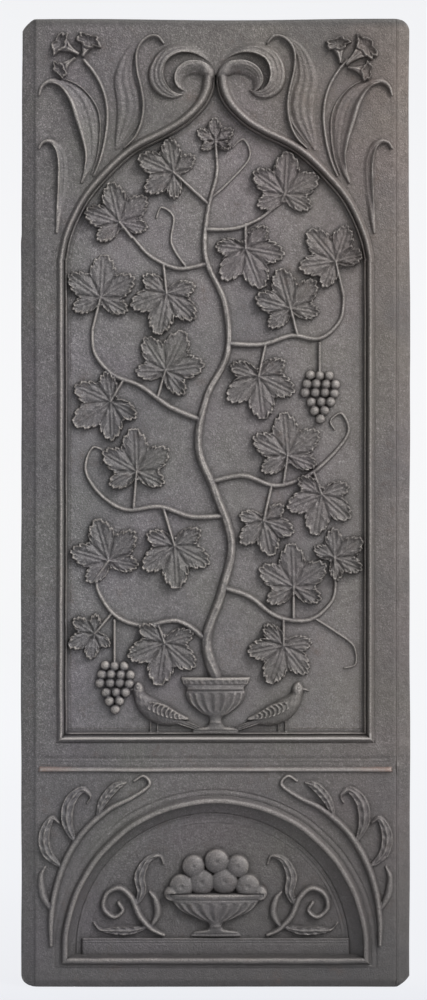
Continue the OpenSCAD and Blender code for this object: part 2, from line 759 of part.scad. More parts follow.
bird(1, right_perch);  // right_bird
fruit_bowl();
bowl_fruit();
lunette_scroll(-1);  // left_scroll
lunette_scroll(1);  // right_scroll
shoulder_spray(-1);  // left_shoulder_spray
shoulder_spray(1);  // right_shoulder_spray
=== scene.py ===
import math

import bpy
import numpy as np
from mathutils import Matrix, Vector


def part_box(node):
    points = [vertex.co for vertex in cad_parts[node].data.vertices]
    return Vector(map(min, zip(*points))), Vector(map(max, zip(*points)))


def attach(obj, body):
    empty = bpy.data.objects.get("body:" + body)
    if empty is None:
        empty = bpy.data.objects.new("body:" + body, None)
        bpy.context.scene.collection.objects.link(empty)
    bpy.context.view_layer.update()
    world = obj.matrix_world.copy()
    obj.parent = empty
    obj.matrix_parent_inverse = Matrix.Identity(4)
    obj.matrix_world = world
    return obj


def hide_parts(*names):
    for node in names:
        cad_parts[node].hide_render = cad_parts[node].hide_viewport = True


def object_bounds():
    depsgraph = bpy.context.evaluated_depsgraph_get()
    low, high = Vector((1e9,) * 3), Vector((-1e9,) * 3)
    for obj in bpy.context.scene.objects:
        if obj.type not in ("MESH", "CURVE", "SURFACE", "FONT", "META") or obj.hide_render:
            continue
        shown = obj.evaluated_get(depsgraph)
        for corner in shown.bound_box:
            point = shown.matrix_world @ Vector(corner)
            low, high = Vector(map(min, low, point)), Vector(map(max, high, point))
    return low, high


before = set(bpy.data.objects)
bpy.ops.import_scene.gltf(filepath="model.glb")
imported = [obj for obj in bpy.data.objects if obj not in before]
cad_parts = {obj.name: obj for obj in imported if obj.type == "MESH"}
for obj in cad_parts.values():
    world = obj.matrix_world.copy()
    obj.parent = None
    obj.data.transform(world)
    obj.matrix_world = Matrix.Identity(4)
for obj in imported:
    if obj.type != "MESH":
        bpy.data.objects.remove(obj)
cad_lo, cad_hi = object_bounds()

MM = 1000  # the frame is in metres, and the modelling below in millimetres
STEP = 0.625  # pitch of the relief's grid
SIDES = ((-1, "left"), (1, "right"))
PIECES = []


# ---- sizes, in mm; depths are counted from the back face, as in the part's source ----

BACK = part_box("back_plate")[1].y * MM


def span(name):
    """How far a node reaches across, in depth and up."""
    lo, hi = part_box(name)
    return (lo.x * MM, hi.x * MM), (BACK - hi.y * MM, BACK - lo.y * MM), (lo.z * MM, hi.z * MM)


(_, HALF), (_, BASE), (_, TALL) = span("back_plate")
(EDGE, FIELD), (_, BORDER), (RAIL_TOP, SPRING) = span("right_stile")
SHOULDER, BEVEL_FALL = FIELD - 1.5, 5.0  # where the long sides begin to slope, and how far they fall
GROUND = span("panel_ground")[1][1]
LOWER_TOP = span("middle_rail")[2][0]
(BEAD_IN, BEAD_OUT), (_, BEAD_TOP), _ = span("right_upright_bead")
BEAD_X, BEAD_R = (BEAD_IN + BEAD_OUT) / 2, (BEAD_OUT - BEAD_IN) / 2
SILL = sum(span("sill_bead")[2]) / 2
_, (_, OGEE_TOP), (_, ARCH_TOP) = span("left_ogee_moulding")
OGEE_R = EDGE - BEAD_X
(_, CROSS_HALF), (_, CROSS_TOP), (CROSS_LOW, CROSS_HIGH) = span("cross_bead")
CROSS = (CROSS_LOW + CROSS_HIGH) / 2
CROSS_R = CROSS - CROSS_LOW
(_, OUTER_R), (_, RIB_TOP), (_, RIB_HIGH) = span("right_lunette_rib")
LUN = RIB_HIGH - OUTER_R  # height of the lunette's centre
FOOT_RAIL = span("bottom_rail")[2][1]
COVE_R = span("right_lunette_cove")[0][1]
RIB_W = 4.0  # half the rib's width
RIB_R = COVE_R + RIB_W
CREST = RIB_R - 1.2  # radius of the rib's crest, which leans inwards
BAND = BORDER - 1.5  # face of the flat band outside the rib
SILL_LOW = span("lunette_sill")[2][1] - RIB_W
(_, LEDGE_HALF), (_, LEDGE_TOP), (_, LEDGE_Z) = span("table_ledge")
LIMIT = BACK - cad_lo[1] * MM - 0.05  # no relief stands higher than this

# The ornament is drawn for these sizes, and stretched to the part's own
DRAWN_BEAD_X, DRAWN_HEAD, DRAWN_PANEL, DRAWN_RIB = 154, 184, 661, 151
WIDE = BEAD_X / DRAWN_BEAD_X
HEAD = (ARCH_TOP - SPRING) / DRAWN_HEAD
PANEL = (ARCH_TOP - SILL) / DRAWN_PANEL
ROUND = RIB_R / DRAWN_RIB


# ---- small helpers ----


def smax(a, b, k):
    """The higher of two, with a rounded meeting k wide."""
    return np.maximum(a, b) + np.clip(k - np.abs(a - b), 0, None) ** 2 / (4 * k)


def smin(a, b, k):
    return -smax(-a, -b, k)


def unit(t):
    return np.clip(t, 0, 1)


def step(t):
    """Rises smoothly from 0 to 1 as t does."""
    t = unit(t)
    return t * t * (3 - 2 * t)


def bell(t):
    """1 at nought, and falling off to both sides."""
    return np.exp(-t * t)


def waves(seed, count, length):
    """A seeded unevenness: waves of about one length in all directions."""
    r = np.random.default_rng(seed)
    turn = r.uniform(0, 2 * math.pi, count)
    k = 2 * math.pi / (length * r.uniform(0.6, 1.8, count))
    kx, kz, start = k * np.cos(turn), k * np.sin(turn), r.uniform(0, 2 * math.pi, count)

    def value(x, z):
        total = np.zeros(np.broadcast(x, z).shape)
        for a, b, c in zip(kx, kz, start):
            total = total + np.sin(a * x + b * z + c)
        return total / math.sqrt(count / 2)

    return value


broad, middling, close = waves(3, 10, 150), waves(5, 16, 38), waves(8, 24, 11)


def uneven(x, z):
    """The sand casting's own unevenness."""
    return 0.22 * broad(x, z) + 0.10 * middling(x, z) + 0.035 * close(x, z)


def panel_floor(x, z):
    return GROUND + uneven(x, z)


def bevel_fall(x):
    return BEVEL_FALL * unit((np.abs(x) - SHOULDER) / (HALF - SHOULDER)) ** 0.75


def border_face(x, z):
    """The border's face, a little higher beside the panel and sloping along the sides."""
    d = BORDER + uneven(x, z) - bevel_fall(x)
    return d + 0.45 * step((z - SILL + 19) / 1.6) * step((RAIL_TOP + 2 - z) / 3)


def lunette_floor(x, z):
    return BASE + 0.6 * uneven(x, z)


def catmull(points, n):
    """A smooth line through the points, n places to each stretch."""
    p = np.asarray(points, float)
    out = []
    for i in range(len(p) - 1):
        a, b, c, d = p[max(i - 1, 0)], p[i], p[i + 1], p[min(i + 2, len(p) - 1)]
        for t in (j / n for j in range(n)):
            curve = 2 * b + (c - a) * t + (2 * a - 5 * b + 4 * c - d) * t * t
            out.append(0.5 * (curve + (3 * b - a - 3 * c + d) * t**3))
    return np.array(out + [p[-1]])


def on_head(p):
    """Places drawn for the head, counted from its spring line."""
    return [[q[0] * WIDE, SPRING + q[1] * HEAD, *q[2:]] for q in p]


def on_panel(p):
    """Places drawn for the tall panel, counted from its sill."""
    return [[q[0] * WIDE, SILL + q[1] * PANEL, *q[2:]] for q in p]


def on_round(p):
    """Places drawn for the lunette and round it, counted from its centre."""
    return [[q[0] * ROUND, LUN + q[1] * ROUND, *q[2:]] for q in p]


def run_of(p):
    """How far along a line each of its points lies."""
    return np.concatenate([[0], np.cumsum(np.hypot(*np.diff(p[:, :2], axis=0).T))])


# ---- outline: the edges of the casting are a little wavy and its four corners differ ----


def wavy(x, z):
    """Moves the outermost centimetres of the plate inwards a little, never outwards."""
    right, left = step((x - FIELD + 4) / 12), step((-x - FIELD + 4) / 12)
    in_right = 0.5 + 0.35 * np.sin(z / 61 + 1) + 0.2 * np.sin(z / 23) + 0.9 * step((z - 720) / 120)
    in_right = in_right - 0.7 * bell((z - 655) / 30)
    in_left = 0.45 + 0.3 * np.sin(z / 71) + 0.16 * np.sin(z / 19 + 2) + 0.9 * step((z - 742) / 14)
    sag = step((z - TALL + 24) / 20) * (0.5 + 1.2 * bell(x / 120) + 0.3 * np.sin(x / 37 + 1))
    lift = step((14 - z) / 12) * (0.16 + 0.14 * np.sin(x / 47))
    return x - right * np.clip(in_right, 0.05, 2) + left * np.clip(in_left, 0.05, 2), z - sag + lift


def edge_at(z, side):
    """How far the plate reaches sideways at a height, with the corners taken off."""
    up, down = np.clip(z - (TALL - 12), 0, 12), np.clip(12 - z, 0, 12)

    def rounded(t, r):
        return r * (1 - np.sqrt(unit(1 - t * t)))

    def cut(t, r, power, root):
        return r * (1 - (1 - t**power) ** root)

    if side < 0:
        return HALF - cut(up / 12, 13.5, 1.4, 0.71) - rounded(down / 12, 12)
    return HALF - rounded(up / 12, 12) - cut(np.clip(down - 1, 0, 11) / 11, 13, 1.25, 0.8)


# ---- meshes ----


def keep(name, slot, flat, faces, sharp=72):
    """Notes a piece: its points as across, up and depth, its faces, and the angle that stays sharp."""
    flat, faces = np.asarray(flat, float), np.asarray(faces, np.int64)
    PIECES.append({"name": name, "slot": slot, "flat": flat, "faces": faces, "sharp": sharp, "nodes": [name]})


def sheet_of(xs, zs, cells, top, under, place=lambda x, z: (x, z)):
    """A closed slab over some cells of a grid: a modelled face in front and a plain one behind."""
    nx, nz = len(xs), len(zs)
    x, z = np.meshgrid(xs, zs)
    used = np.zeros((nz, nx), bool)
    for a in (0, 1):
        for b in (0, 1):
            used[a : nz - 1 + a, b : nx - 1 + b] |= cells
    order = np.full((nz, nx), -1)
    count = int(used.sum())
    order[used] = np.arange(count)
    px, pz = place(x[used], z[used])
    front = np.stack([px, pz, np.broadcast_to(top(x, z), x.shape)[used]], 1)
    back = np.stack([px, pz, np.broadcast_to(under(x, z), x.shape)[used]], 1)
    a, b = order[:-1, :-1][cells], order[:-1, 1:][cells]
    c, d = order[1:, 1:][cells], order[1:, :-1][cells]
    faces = [np.stack([a, b, c, d], 1), np.stack([d, c, b, a], 1) + count]
    pad = np.pad(cells, 1)
    core = pad[1:-1, 1:-1]
    for near_by, i, j in (
        (pad[:-2, 1:-1], order[:-1, :-1], order[:-1, 1:]),
        (pad[1:-1, 2:], order[:-1, 1:], order[1:, 1:]),
        (pad[2:, 1:-1], order[1:, 1:], order[1:, :-1]),
        (pad[1:-1, :-2], order[1:, :-1], order[:-1, :-1]),
    ):
        rim = core & ~near_by
        p, q = i[rim], j[rim]
        faces.append(np.stack([q, p, p + count, q + count], 1))
    return np.concatenate([front, back]), np.concatenate(faces)


def lines(a, b, pitch):
    """Grid lines from a to b, at most a pitch apart."""
    return np.linspace(a, b, max(2, int(math.ceil((b - a) / pitch)) + 1))


def all_cells(xs, zs):
    return np.ones((len(zs) - 1, len(xs) - 1), bool)


def board(name, slot, box, top, where=None, pitch=2.0, place=wavy):
    """A board of the border, over the part of its box that the shape named by where leaves."""
    xs, zs = lines(box[0], box[1], pitch), lines(box[2], box[3], pitch)
    cells = all_cells(xs, zs)
    if where is not None:
        cells = where(*np.meshgrid((xs[1:] + xs[:-1]) / 2, (zs[1:] + zs[:-1]) / 2))
    keep(name, slot, *sheet_of(xs, zs, cells, top, lambda x, z: np.full(x.shape, BASE), place))


def net(x, z, d):
    return np.stack([x, z, d], 2).reshape(-1, 3)


def corners(n, k):
    """The first corner of every cell in a net of n by k places."""
    i, j = np.meshgrid(np.arange(n - 1), np.arange(k - 1), indexing="ij")
    return (i * k + j).ravel()


def keep_strip(name, slot, front, back, quads, loop, sharp=72):
    """Keeps a closed strip: a modelled face in front, a plain one behind and walls along its rim."""
    n = len(front)
    walls = np.stack([loop[:, 1], loop[:, 0], loop[:, 0] + n, loop[:, 1] + n], 1)
    faces = np.concatenate([quads, quads[:, ::-1] + n, walls])
    keep(name, slot, np.concatenate([front, back]), faces, sharp)


def woven(name, slot, x, z, d, low):
    """A closed strip over a net of places, with its back at the depth low."""
    n, k = x.shape
    a, last = corners(n, k), (n - 1) * k
    quads = np.stack([a, a + k, a + k + 1, a + 1], 1)
    rim = [(p, p + k) for p in range(0, last, k)]
    rim += [(p + 2 * k - 1, p + k - 1) for p in range(0, last, k)]
    rim += [(p + 1, p) for p in range(k - 1)]
    rim += [(last + p, last + p + 1) for p in range(k - 1)]
    loop = np.array(rim)
    p, q = n // 2, k // 2
    ahead, aside = (p - 1, q), (p, q - 1)
    if (x[p, q] - x[ahead]) * (z[p, q] - z[aside]) < (z[p, q] - z[ahead]) * (x[p, q] - x[aside]):
        quads, loop = quads[:, ::-1], loop[:, ::-1]
    keep_strip(name, slot, net(x, z, d), net(x, z, np.minimum(low, d - 0.3)), quads, loop)


def carried(name, stations, profile, jitter, seed, extra=None):
    """A moulding: its profile, as offset and depth, is carried along stations of place and direction."""
    st, prof = np.asarray(stations, float), np.asarray(profile, float)
    if prof.ndim == 2:
        prof = np.broadcast_to(prof, (len(st), *prof.shape))
    along = run_of(st)
    off = prof[..., 0] + (jitter * waves(seed, 8, 60)(along, 0 * along + seed))[:, None]
    x = st[:, None, 0] + st[:, None, 2] * off
    z = st[:, None, 1] + st[:, None, 3] * off
    if st.shape[1] > 4:  # the profile is skewed, as for a mitre
        x = x + st[:, None, 4] * prof[..., 0]
        z = z + st[:, None, 5] * prof[..., 0]
    d = prof[..., 1] + uneven(x, z)
    if extra is not None:
        d = d + extra(x, z, prof[..., 0])
    woven(name, "iron_moulding", x, z, d, BASE + 0.5)


# ---- relief: ornament is modelled as height over its ground, on a fine grid ----


class Relief:
    """Heights over the ground on a grid whose lines are the same for all ornaments."""

    def __init__(self, x0, x1, z0, z1):
        self.xs = np.arange(math.floor(x0 / STEP), math.ceil(x1 / STEP) + 1) * STEP
        self.zs = np.arange(math.floor(z0 / STEP), math.ceil(z1 / STEP) + 1) * STEP
        self.x, self.z = np.meshgrid(self.xs, self.zs)
        self.h = np.full(self.x.shape, -4.0)

    @classmethod
    def over(cls, boxes, margin, foot=None):
        """A grid that covers the boxes and a margin round them, or one that begins at a foot."""
        b = np.array(boxes)
        z0 = b[:, 2].min() - margin if foot is None else foot
        return cls(b[:, 0].min() - margin, b[:, 1].max() + margin, z0, b[:, 3].max() + margin)

    @classmethod
    def of(cls, shapes, margin, foot=None):
        """A relief that holds some shapes, each given as its box, itself and how soft its meeting is."""
        r = cls.over([box for box, _, _ in shapes], margin, foot)
        for box, shape, soft in shapes:
            r.add(box, shape, soft)
        return r

    def window(self, x0, x1, z0, z1):
        a, b = np.searchsorted(self.xs, [x0, x1])
        c, d = np.searchsorted(self.zs, [z0, z1])
        return slice(c, d), slice(a, b)

    def add(self, box, shape, soft):
        """Joins a shape to what stands there, with a soft meeting."""
        w = self.window(*box)
        if self.h[w].size:
            self.h[w] = smax(self.h[w], shape(self.x[w], self.z[w]), soft)

    def raised(self, box, shape):
        """Adds height where the shape already stands."""
        w = self.window(*box)
        if self.h[w].size:
            self.h[w] += shape(self.x[w], self.z[w]) * step(self.h[w] / 1.5)

    def keep(self, name, floor, seed, grain=0.10):
        """Keeps what stands over the floor as an ornament, with the casting's grain on it."""
        sink = 0.3
        rough = grain * waves(100 + seed, 26, 7)(self.x, self.z) * step(self.h / 2)
        h = smax(self.h + rough, -sink, 1.1) - 0.06
        shown = h > -sink + 0.02
        cells = shown[:-1, :-1] | shown[1:, :-1] | shown[:-1, 1:] | shown[1:, 1:]

        def top(x, z):
            return smin(floor(x, z) + np.clip(h, -sink - 0.2, None), LIMIT, 0.8)

        flat, faces = sheet_of(self.xs, self.zs, cells, top, lambda x, z: floor(x, z) - 1.2)
        keep(name, "iron_ornament", flat, faces, sharp=84)


def near(line, x, z):
    """The nearest place on a line: distance in half widths, the same signed, how far along, and the sizes."""
    p = np.asarray(line, float)
    legs = np.hypot(np.diff(p[:, 0]), np.diff(p[:, 1]))
    far = np.concatenate([[0], np.cumsum(legs)])
    best = np.full(x.shape, 1e9)
    side = np.zeros(x.shape)
    along, wide, high = np.zeros(x.shape), np.ones(x.shape), np.ones(x.shape)
    for i in range(len(p) - 1):
        ex, ez = p[i + 1, 0] - p[i, 0], p[i + 1, 1] - p[i, 1]
        t = np.clip(((x - p[i, 0]) * ex + (z - p[i, 1]) * ez) / max(ex * ex + ez * ez, 1e-9), 0, 1)
        dx, dz = x - p[i, 0] - t * ex, z - p[i, 1] - t * ez
        w = p[i, 2] + t * (p[i + 1, 2] - p[i, 2])
        q = np.hypot(dx, dz) / w
        m = q < best
        best = np.where(m, q, best)
        side = np.where(m, np.where(ex * dz - ez * dx < 0, -1.0, 1.0), side)
        along = np.where(m, far[i] + t * legs[i], along)
        wide = np.where(m, w, wide)
        high = np.where(m, p[i, 3] + t * (p[i + 1, 3] - p[i, 3]), high)
    return best, side * best, along, wide, high, far[-1]


def box_of(line, grow=3.0):
    """The box round a line and its width, and a little more."""
    p = np.asarray(line, float)
    w = p[:, 2].max() + grow
    return p[:, 0].min() - w, p[:, 0].max() + w, p[:, 1].min() - w, p[:, 1].max() + w


def dome(s, power):
    """A rounded section: 1 in the middle and 0 at both edges."""
    return unit(1 - s * s) ** power


# A form gives the height in a stroke: s is from -1 to 1 across it, u from 0 to 1 along it, w half its width
def round_top(s, u, w):
    return dome(s, 0.62)


def stroke(line, n=5, form=round_top):
    """A stem or leaf along a line of places with half width and height: its box, and its shape."""
    fine = catmull(line, n)
    fine[:, 2] = np.maximum(fine[:, 2], 0.5)

    def shape(x, z):
        q, s, along, w, h, total = near(fine, x, z)
        body = h * form(np.clip(s, -1, 1), along / total, w)
        return np.where(q <= 1, body, -(q - 1) * w * 1.5)

    return box_of(fine), shape


def flipped(shape_box, side):
    """The same form on the other side of the middle."""
    box, shape = shape_box
    if side < 0:
        return box, shape
    return (-box[1], -box[0], box[2], box[3]), lambda x, z: shape(-x, z)


# ---- ornament lists, as in the part's source: across, up, half width and height ----

OGEE = [[-154, 1], [-150, 21], [-142, 42], [-129, 65], [-110, 87], [-91, 105], [-73, 117], [-50, 128.5],
    [-31, 140], [-16, 155], [-8.5, 170], [-6.5, 184]]
VOLUTE = [[-6.6, 184.6, 5.4, 6.5], [-7.6, 187.4, 6, 7.4], [-12.6, 190.5, 7, 8], [-19.5, 191.8, 7.6, 8],
    [-27, 191, 7.6, 8], [-33.4, 187, 6.9, 7.6], [-36.2, 181.4, 5.8, 7], [-35.8, 175.6, 4.3, 5.6],
    [-33.4, 171.4, 2.4, 4], [-31, 169.2, 1, 3]]
VOLUTE_RIGHT = [[-6.8, 184.6, 5.4, 6.5], [-8.8, 188, 6, 7.4], [-14.6, 191.2, 6.9, 8],
    [-22.6, 192.2, 7.6, 8], [-31, 191, 7.8, 8], [-38.4, 186.6, 7.2, 7.6], [-42, 180, 6.2, 7],
    [-41.2, 173.8, 4.6, 5.6], [-38.2, 169.8, 2.6, 4], [-35.6, 168, 1.1, 3]]
HOOK = [[-4.3, 197, 1.6, 3], [-9.8, 202.8, 3.1, 4.2], [-20, 209.3, 4.4, 5.4], [-32.4, 212, 5.6, 6.4],
    [-43.3, 210, 6.7, 7], [-52, 204.4, 7.2, 7.4], [-57.2, 196.5, 7.4, 7.6], [-59.6, 186.8, 7.9, 7.6],
    [-58, 177, 7.8, 7.4], [-52.8, 169.8, 6.8, 6.8], [-45.6, 165.2, 4.8, 5.6], [-38.5, 164, 2.8, 4.4],
    [-33, 165, 1.2, 3]]
HOOK_RIGHT = [[-5.2, 198, 1.7, 3], [-12.4, 204.6, 3.2, 4.2], [-22.6, 210, 4.6, 5.4], [-34, 212, 6, 6.4],
    [-45.4, 210.2, 7.2, 7], [-55, 204.8, 8.1, 7.4], [-60.6, 195.8, 8.5, 7.6], [-62.4, 185, 8.6, 7.6],
    [-60.2, 175.2, 8.2, 7.4], [-54.4, 168.4, 6.8, 6.8], [-47, 165.4, 4.8, 5.6], [-39.5, 166.4, 2.8, 4.4],
    [-34.6, 169, 1.2, 3]]
BLADE = [[-99, 111, 2, 2.6], [-93, 126, 8, 4], [-86, 145, 13, 5], [-86, 162, 14, 5.2], [-90, 180, 12, 5],
    [-88, 197, 8.6, 5], [-82, 211, 5.4, 5], [-72, 219.5, 3.4, 5], [-61, 222.5, 2.2, 4.2],
    [-53.5, 218, 1.3, 3]]
BLADE_RIM = [[-91, 112, 1.1, 3.4], [-80.7, 122.4, 1.2, 5], [-74.2, 137.3, 1.3, 6], [-72, 154, 1.3, 6.2],
    [-74, 170.4, 1.3, 6.2], [-78, 187, 1.3, 6.2], [-79.2, 203.6, 1.3, 6], [-75.5, 215, 1.4, 5.8],
    [-67, 222.6, 1.4, 5.6], [-58, 223, 1.4, 5], [-52, 216.5, 1.2, 3.6]]
LILY = [[-131, 199, 1.9, 4.2], [-122, 188, 1.9, 4.4], [-113.5, 173, 1.8, 4.4], [-108.8, 156, 1.8, 4.2],
    [-108, 139, 1.7, 4], [-110.5, 119, 1.6, 3.6], [-115.5, 99, 1.5, 3], [-121.5, 84.5, 1.3, 2]]
VEIN = [[-153, 180.6, 0.6, 2.4], [-143, 177.5, 0.8, 2.6], [-132, 170.4, 0.9, 2.8],
    [-121, 157.2, 0.9, 2.8], [-116, 144, 0.9, 2.6], [-115.2, 127.3, 0.9, 2.4], [-118, 104, 0.8, 2],
    [-124, 86, 0.7, 1.4]]
UPPER = [[-176, 165, 1.4, 3.4], [-173, 173.5, 2, 4.6], [-165, 178.5, 2.8, 5.6], [-155, 177, 4.2, 6.4],
    [-144.5, 170, 7.2, 7.4], [-135, 158, 10.4, 7.6], [-129, 142, 11.4, 7.2], [-125.5, 122, 8.6, 6.4],
    [-125, 105, 5.5, 5.4], [-128.5, 90, 3.4, 4], [-133.5, 78, 1.6, 2.4]]
LOWER = [[-176, 112, 1.4, 3.4], [-172, 117.5, 1.8, 4.6], [-164.5, 118.5, 2.6, 5.4], [-157, 112, 4, 6],
    [-153, 99.5, 5, 6.2], [-152.5, 84, 5.2, 6], [-154, 64, 4.4, 5.2], [-156.5, 44, 3, 4.2],
    [-158.5, 28, 1.6, 2.4]]
TRUMPETS = [
    [[-136.5, 205, 2, 4], [-144, 208.5, 3.8, 5], [-151, 213, 7.6, 6.4], [-156, 216.5, 10.6, 7]],
    [[-132.5, 203, 2, 4], [-130.5, 209, 3.4, 5], [-128, 214.5, 7.4, 6.4], [-126.5, 219, 11.2, 7.4]],
    [[-140, 201.5, 2, 4], [-148, 200.5, 4.6, 5], [-153.5, 195, 7.2, 6.4], [-156, 189.5, 8.4, 6.6]]]
TRUMPETS_RIGHT = [
    [[-125, 196, 1.8, 4], [-124.5, 203, 2.6, 5], [-123, 211, 6, 6.2], [-122, 216.5, 10.6, 7]],
    [[-130, 195, 2, 4], [-138, 201, 4, 5], [-146.5, 208.5, 9, 6.4], [-151, 213, 12.5, 7]],
    [[-132, 192, 2, 4], [-140, 193, 4.2, 5], [-147, 190.5, 7.4, 6.2], [-151.5, 188, 8.6, 6.6]]]
TRUNK = [[0, 60, 6.4, 7], [-9, 98, 5.4, 7], [6, 145, 4.9, 7], [16, 195, 4.6, 7], [0, 245, 4.3, 6.5],
    [-17, 290, 4.1, 6.5], [-9, 340, 3.9, 6], [12, 385, 3.6, 6], [9, 435, 3.3, 5.5], [-10, 480, 3.1, 5],
    [-8, 525, 2.7, 4.5], [1, 562, 2.2, 4], [1, 582, 1.6, 3]]
# Each branch has its stems, and its leaves: across, up, size, turn, and where the stalk begins
BRANCHES = {
    "left_low_branch": [
        [[[-9, 98, 3.2, 5], [-38, 117, 3, 5], [-72, 112, 2.8, 4.5], [-100, 122, 2.6, 4.5],
            [-117, 146, 2.2, 4], [-119, 164, 1.8, 3.5]]],
        [[-51, 95, 1.2, 261, -58, 114], [-121, 104, 0.8, 203, -104, 124],
            [-107, 177, 1.2, 106, -119, 160]]],
    "right_low_branch": [
        [[[8, 150, 3.2, 5], [34, 141, 3, 5], [62, 121, 2.8, 4.5], [94, 118, 2.6, 4.5], [116, 136, 2.2, 4],
            [120, 154, 1.8, 3.5]],
         [[100, 119, 1.6, 3.5], [120, 106, 1.4, 3], [138, 92, 1.3, 3], [140, 74, 1.2, 3], [129, 70, 1, 2.5]]],
        [[68, 92, 1.12, 250, 68, 119], [119, 180, 0.92, 35, 120, 152], [78, 151, 1.2, 92, 78, 120]]],
    "left_middle_branch": [
        [[[9, 222, 3.2, 5], [-24, 221, 3, 5], [-56, 231, 2.8, 4.5], [-90, 228, 2.6, 4.5], [-116, 244, 2.2, 4],
            [-130, 268, 1.8, 3.5], [-123, 290, 1.5, 3], [-110, 284, 1.3, 3], [-114, 274, 1, 2.5]]],
        [[-41, 192, 1.2, 273, -52, 229], [-79, 266, 1.2, 92, -82, 229]]],
    "right_middle_branch": [
        [[[-4, 256, 3.2, 5], [28, 262, 3, 5], [60, 252, 2.8, 4.5], [92, 262, 2.6, 4.5], [118, 284, 2.2, 4],
            [133, 306, 1.8, 3.5], [126, 324, 1.4, 3], [115, 317, 1.2, 3], [119, 308, 1, 2.5]]],
        [[48, 217, 1, 282, 56, 252], [106, 243, 1.14, 260, 98, 266], [72, 282, 1.2, 95, 68, 254]]],
    "left_high_branch": [
        [[[-16, 318, 3.2, 5], [-46, 331, 3, 5], [-76, 352, 2.8, 4.5], [-103, 363, 2.6, 4.5],
            [-121, 385, 2.2, 4], [-123, 410, 1.8, 3.5]]],
        [[-50, 367, 1.2, 65, -58, 340], [-105, 336, 1.2, 214, -92, 358], [-115, 440, 1.2, 87, -123, 408]]],
    "right_high_branch": [
        [[[13, 394, 3.2, 5], [46, 393, 3, 5], [76, 402, 2.8, 4.5], [104, 399, 2.6, 4.5], [125, 418, 2.2, 4],
            [128, 446, 1.8, 3.5]]],
        [[43, 361, 1.2, 276, 50, 393], [75, 429, 1.14, 106, 82, 402], [120, 476, 1.14, 130, 128, 442]]],
    "crown_branch": [
        [[[-8, 474, 2.8, 4.5], [-38, 469, 2.5, 4.5], [-66, 482, 2.2, 4], [-84, 502, 1.8, 3.5]],
         [[-9, 508, 2.6, 4.5], [20, 509, 2.4, 4.5], [46, 520, 2.2, 4], [66, 538, 1.8, 3.5]],
         [[-6, 538, 1.8, 3.5], [14, 556, 1.6, 3.5], [34, 580, 1.4, 3], [28, 598, 1.3, 3], [17, 590, 1, 2.5]],
         [[-30, 471, 1.6, 3.5], [-44, 494, 1.5, 3.5], [-42, 520, 1.4, 3], [-54, 530, 1.2, 3],
            [-59, 520, 1, 2.5]]],
        [[-49, 444, 1.17, 259, -52, 473], [-96, 515, 1.13, 104, -84, 500], [30, 489, 1.2, 291, 30, 513],
            [69, 543, 1.18, 87, 66, 536], [-42, 565, 1.06, 156, -8, 534], [0, 596, 0.66, 92, 1, 580]]],
}
URN = [[3.5, 24, 5], [9, 22, 6], [12, 9, 6], [20, 7, 6], [25, 15, 7], [34, 26, 8], [44, 30, 9],
    [50, 29, 9], [54, 33, 9], [61, 35, 8]]
BERRY_ROWS = [3, 4, 4, 3, 2, 1]
BUNCHES = {
    "left_berries": [[-101, 72, 1.6, 5], [-101, 117.5, 1.6, 5]],
    "right_berries": [[104, 362, 1.6, 5], [104, 394.2, 1.6, 5]]}
BOWL = [[13, 26, 4], [18, 22, 5], [21, 9, 6], [27, 8, 7], [32, 20, 8], [40, 36, 10], [49, 44, 11],
    [52, 48, 11], [57, 49, 10]]
FRUIT = [[-34, 64, 13], [-14, 68, 14], [9, 69, 14], [32, 64, 13], [-22, 84, 12], [1, 89, 13],
    [22, 84, 12], [-44, 57, 8], [44, 57, 8]]
SCROLLS = [
    [[-52, 15, 2, 5], [-64, 21, 3, 6], [-76, 34, 3.5, 6], [-84, 52, 3.4, 6], [-96, 62, 3.2, 6],
        [-109, 56, 3, 5.5], [-112, 42, 2.8, 5], [-102, 33, 2.6, 5], [-93, 39, 2.4, 5], [-97, 47, 2.2, 5]],
    [[-80, 44, 2, 4], [-74, 58, 5, 6], [-76, 74, 6, 6], [-68, 90, 4, 5], [-56, 94, 2, 4], [-52, 86, 1.5, 3]],
    [[-68, 23, 2, 4], [-84, 19.5, 4.5, 5.5], [-100, 19.5, 4.5, 5.5], [-115, 20, 2, 4], [-122, 27, 1.4, 3]],
    [[-64, 24, 2, 4], [-58, 36, 4, 5], [-60, 50, 3.5, 5], [-66, 58, 1.5, 3]]]
SPRAYS = [
    [[-164, 6, 2, 4], [-164, 30, 3.2, 5], [-160, 60, 3.6, 6], [-149, 92, 3.8, 6], [-131, 120, 3.6, 6],
        [-106, 142, 3.2, 5], [-84, 153, 2.6, 4], [-66, 166, 2, 4], [-72, 175, 1.6, 3.5], [-81, 170, 1.4, 3]],
    [[-154, 84, 2, 4], [-168, 98, 5.5, 6], [-171, 116, 6, 6], [-164, 132, 3.5, 5], [-156, 128, 1.6, 3.5]],
    [[-140, 108, 2, 4], [-148, 128, 6, 6], [-146, 148, 6.5, 6], [-134, 161, 4, 5], [-125, 155, 1.8, 3.5],
        [-128, 148, 1.4, 3]],
    [[-118, 133, 2, 4], [-112, 150, 5, 6], [-100, 164, 5, 6], [-90, 168, 1.8, 3.5]],
    [[-163, 40, 2, 4], [-172, 56, 4, 5], [-174, 74, 3, 4.5], [-170, 84, 1.4, 3]]]

ogee = catmull([[-BEAD_X, SPRING - 2]] + on_head(OGEE), 8)


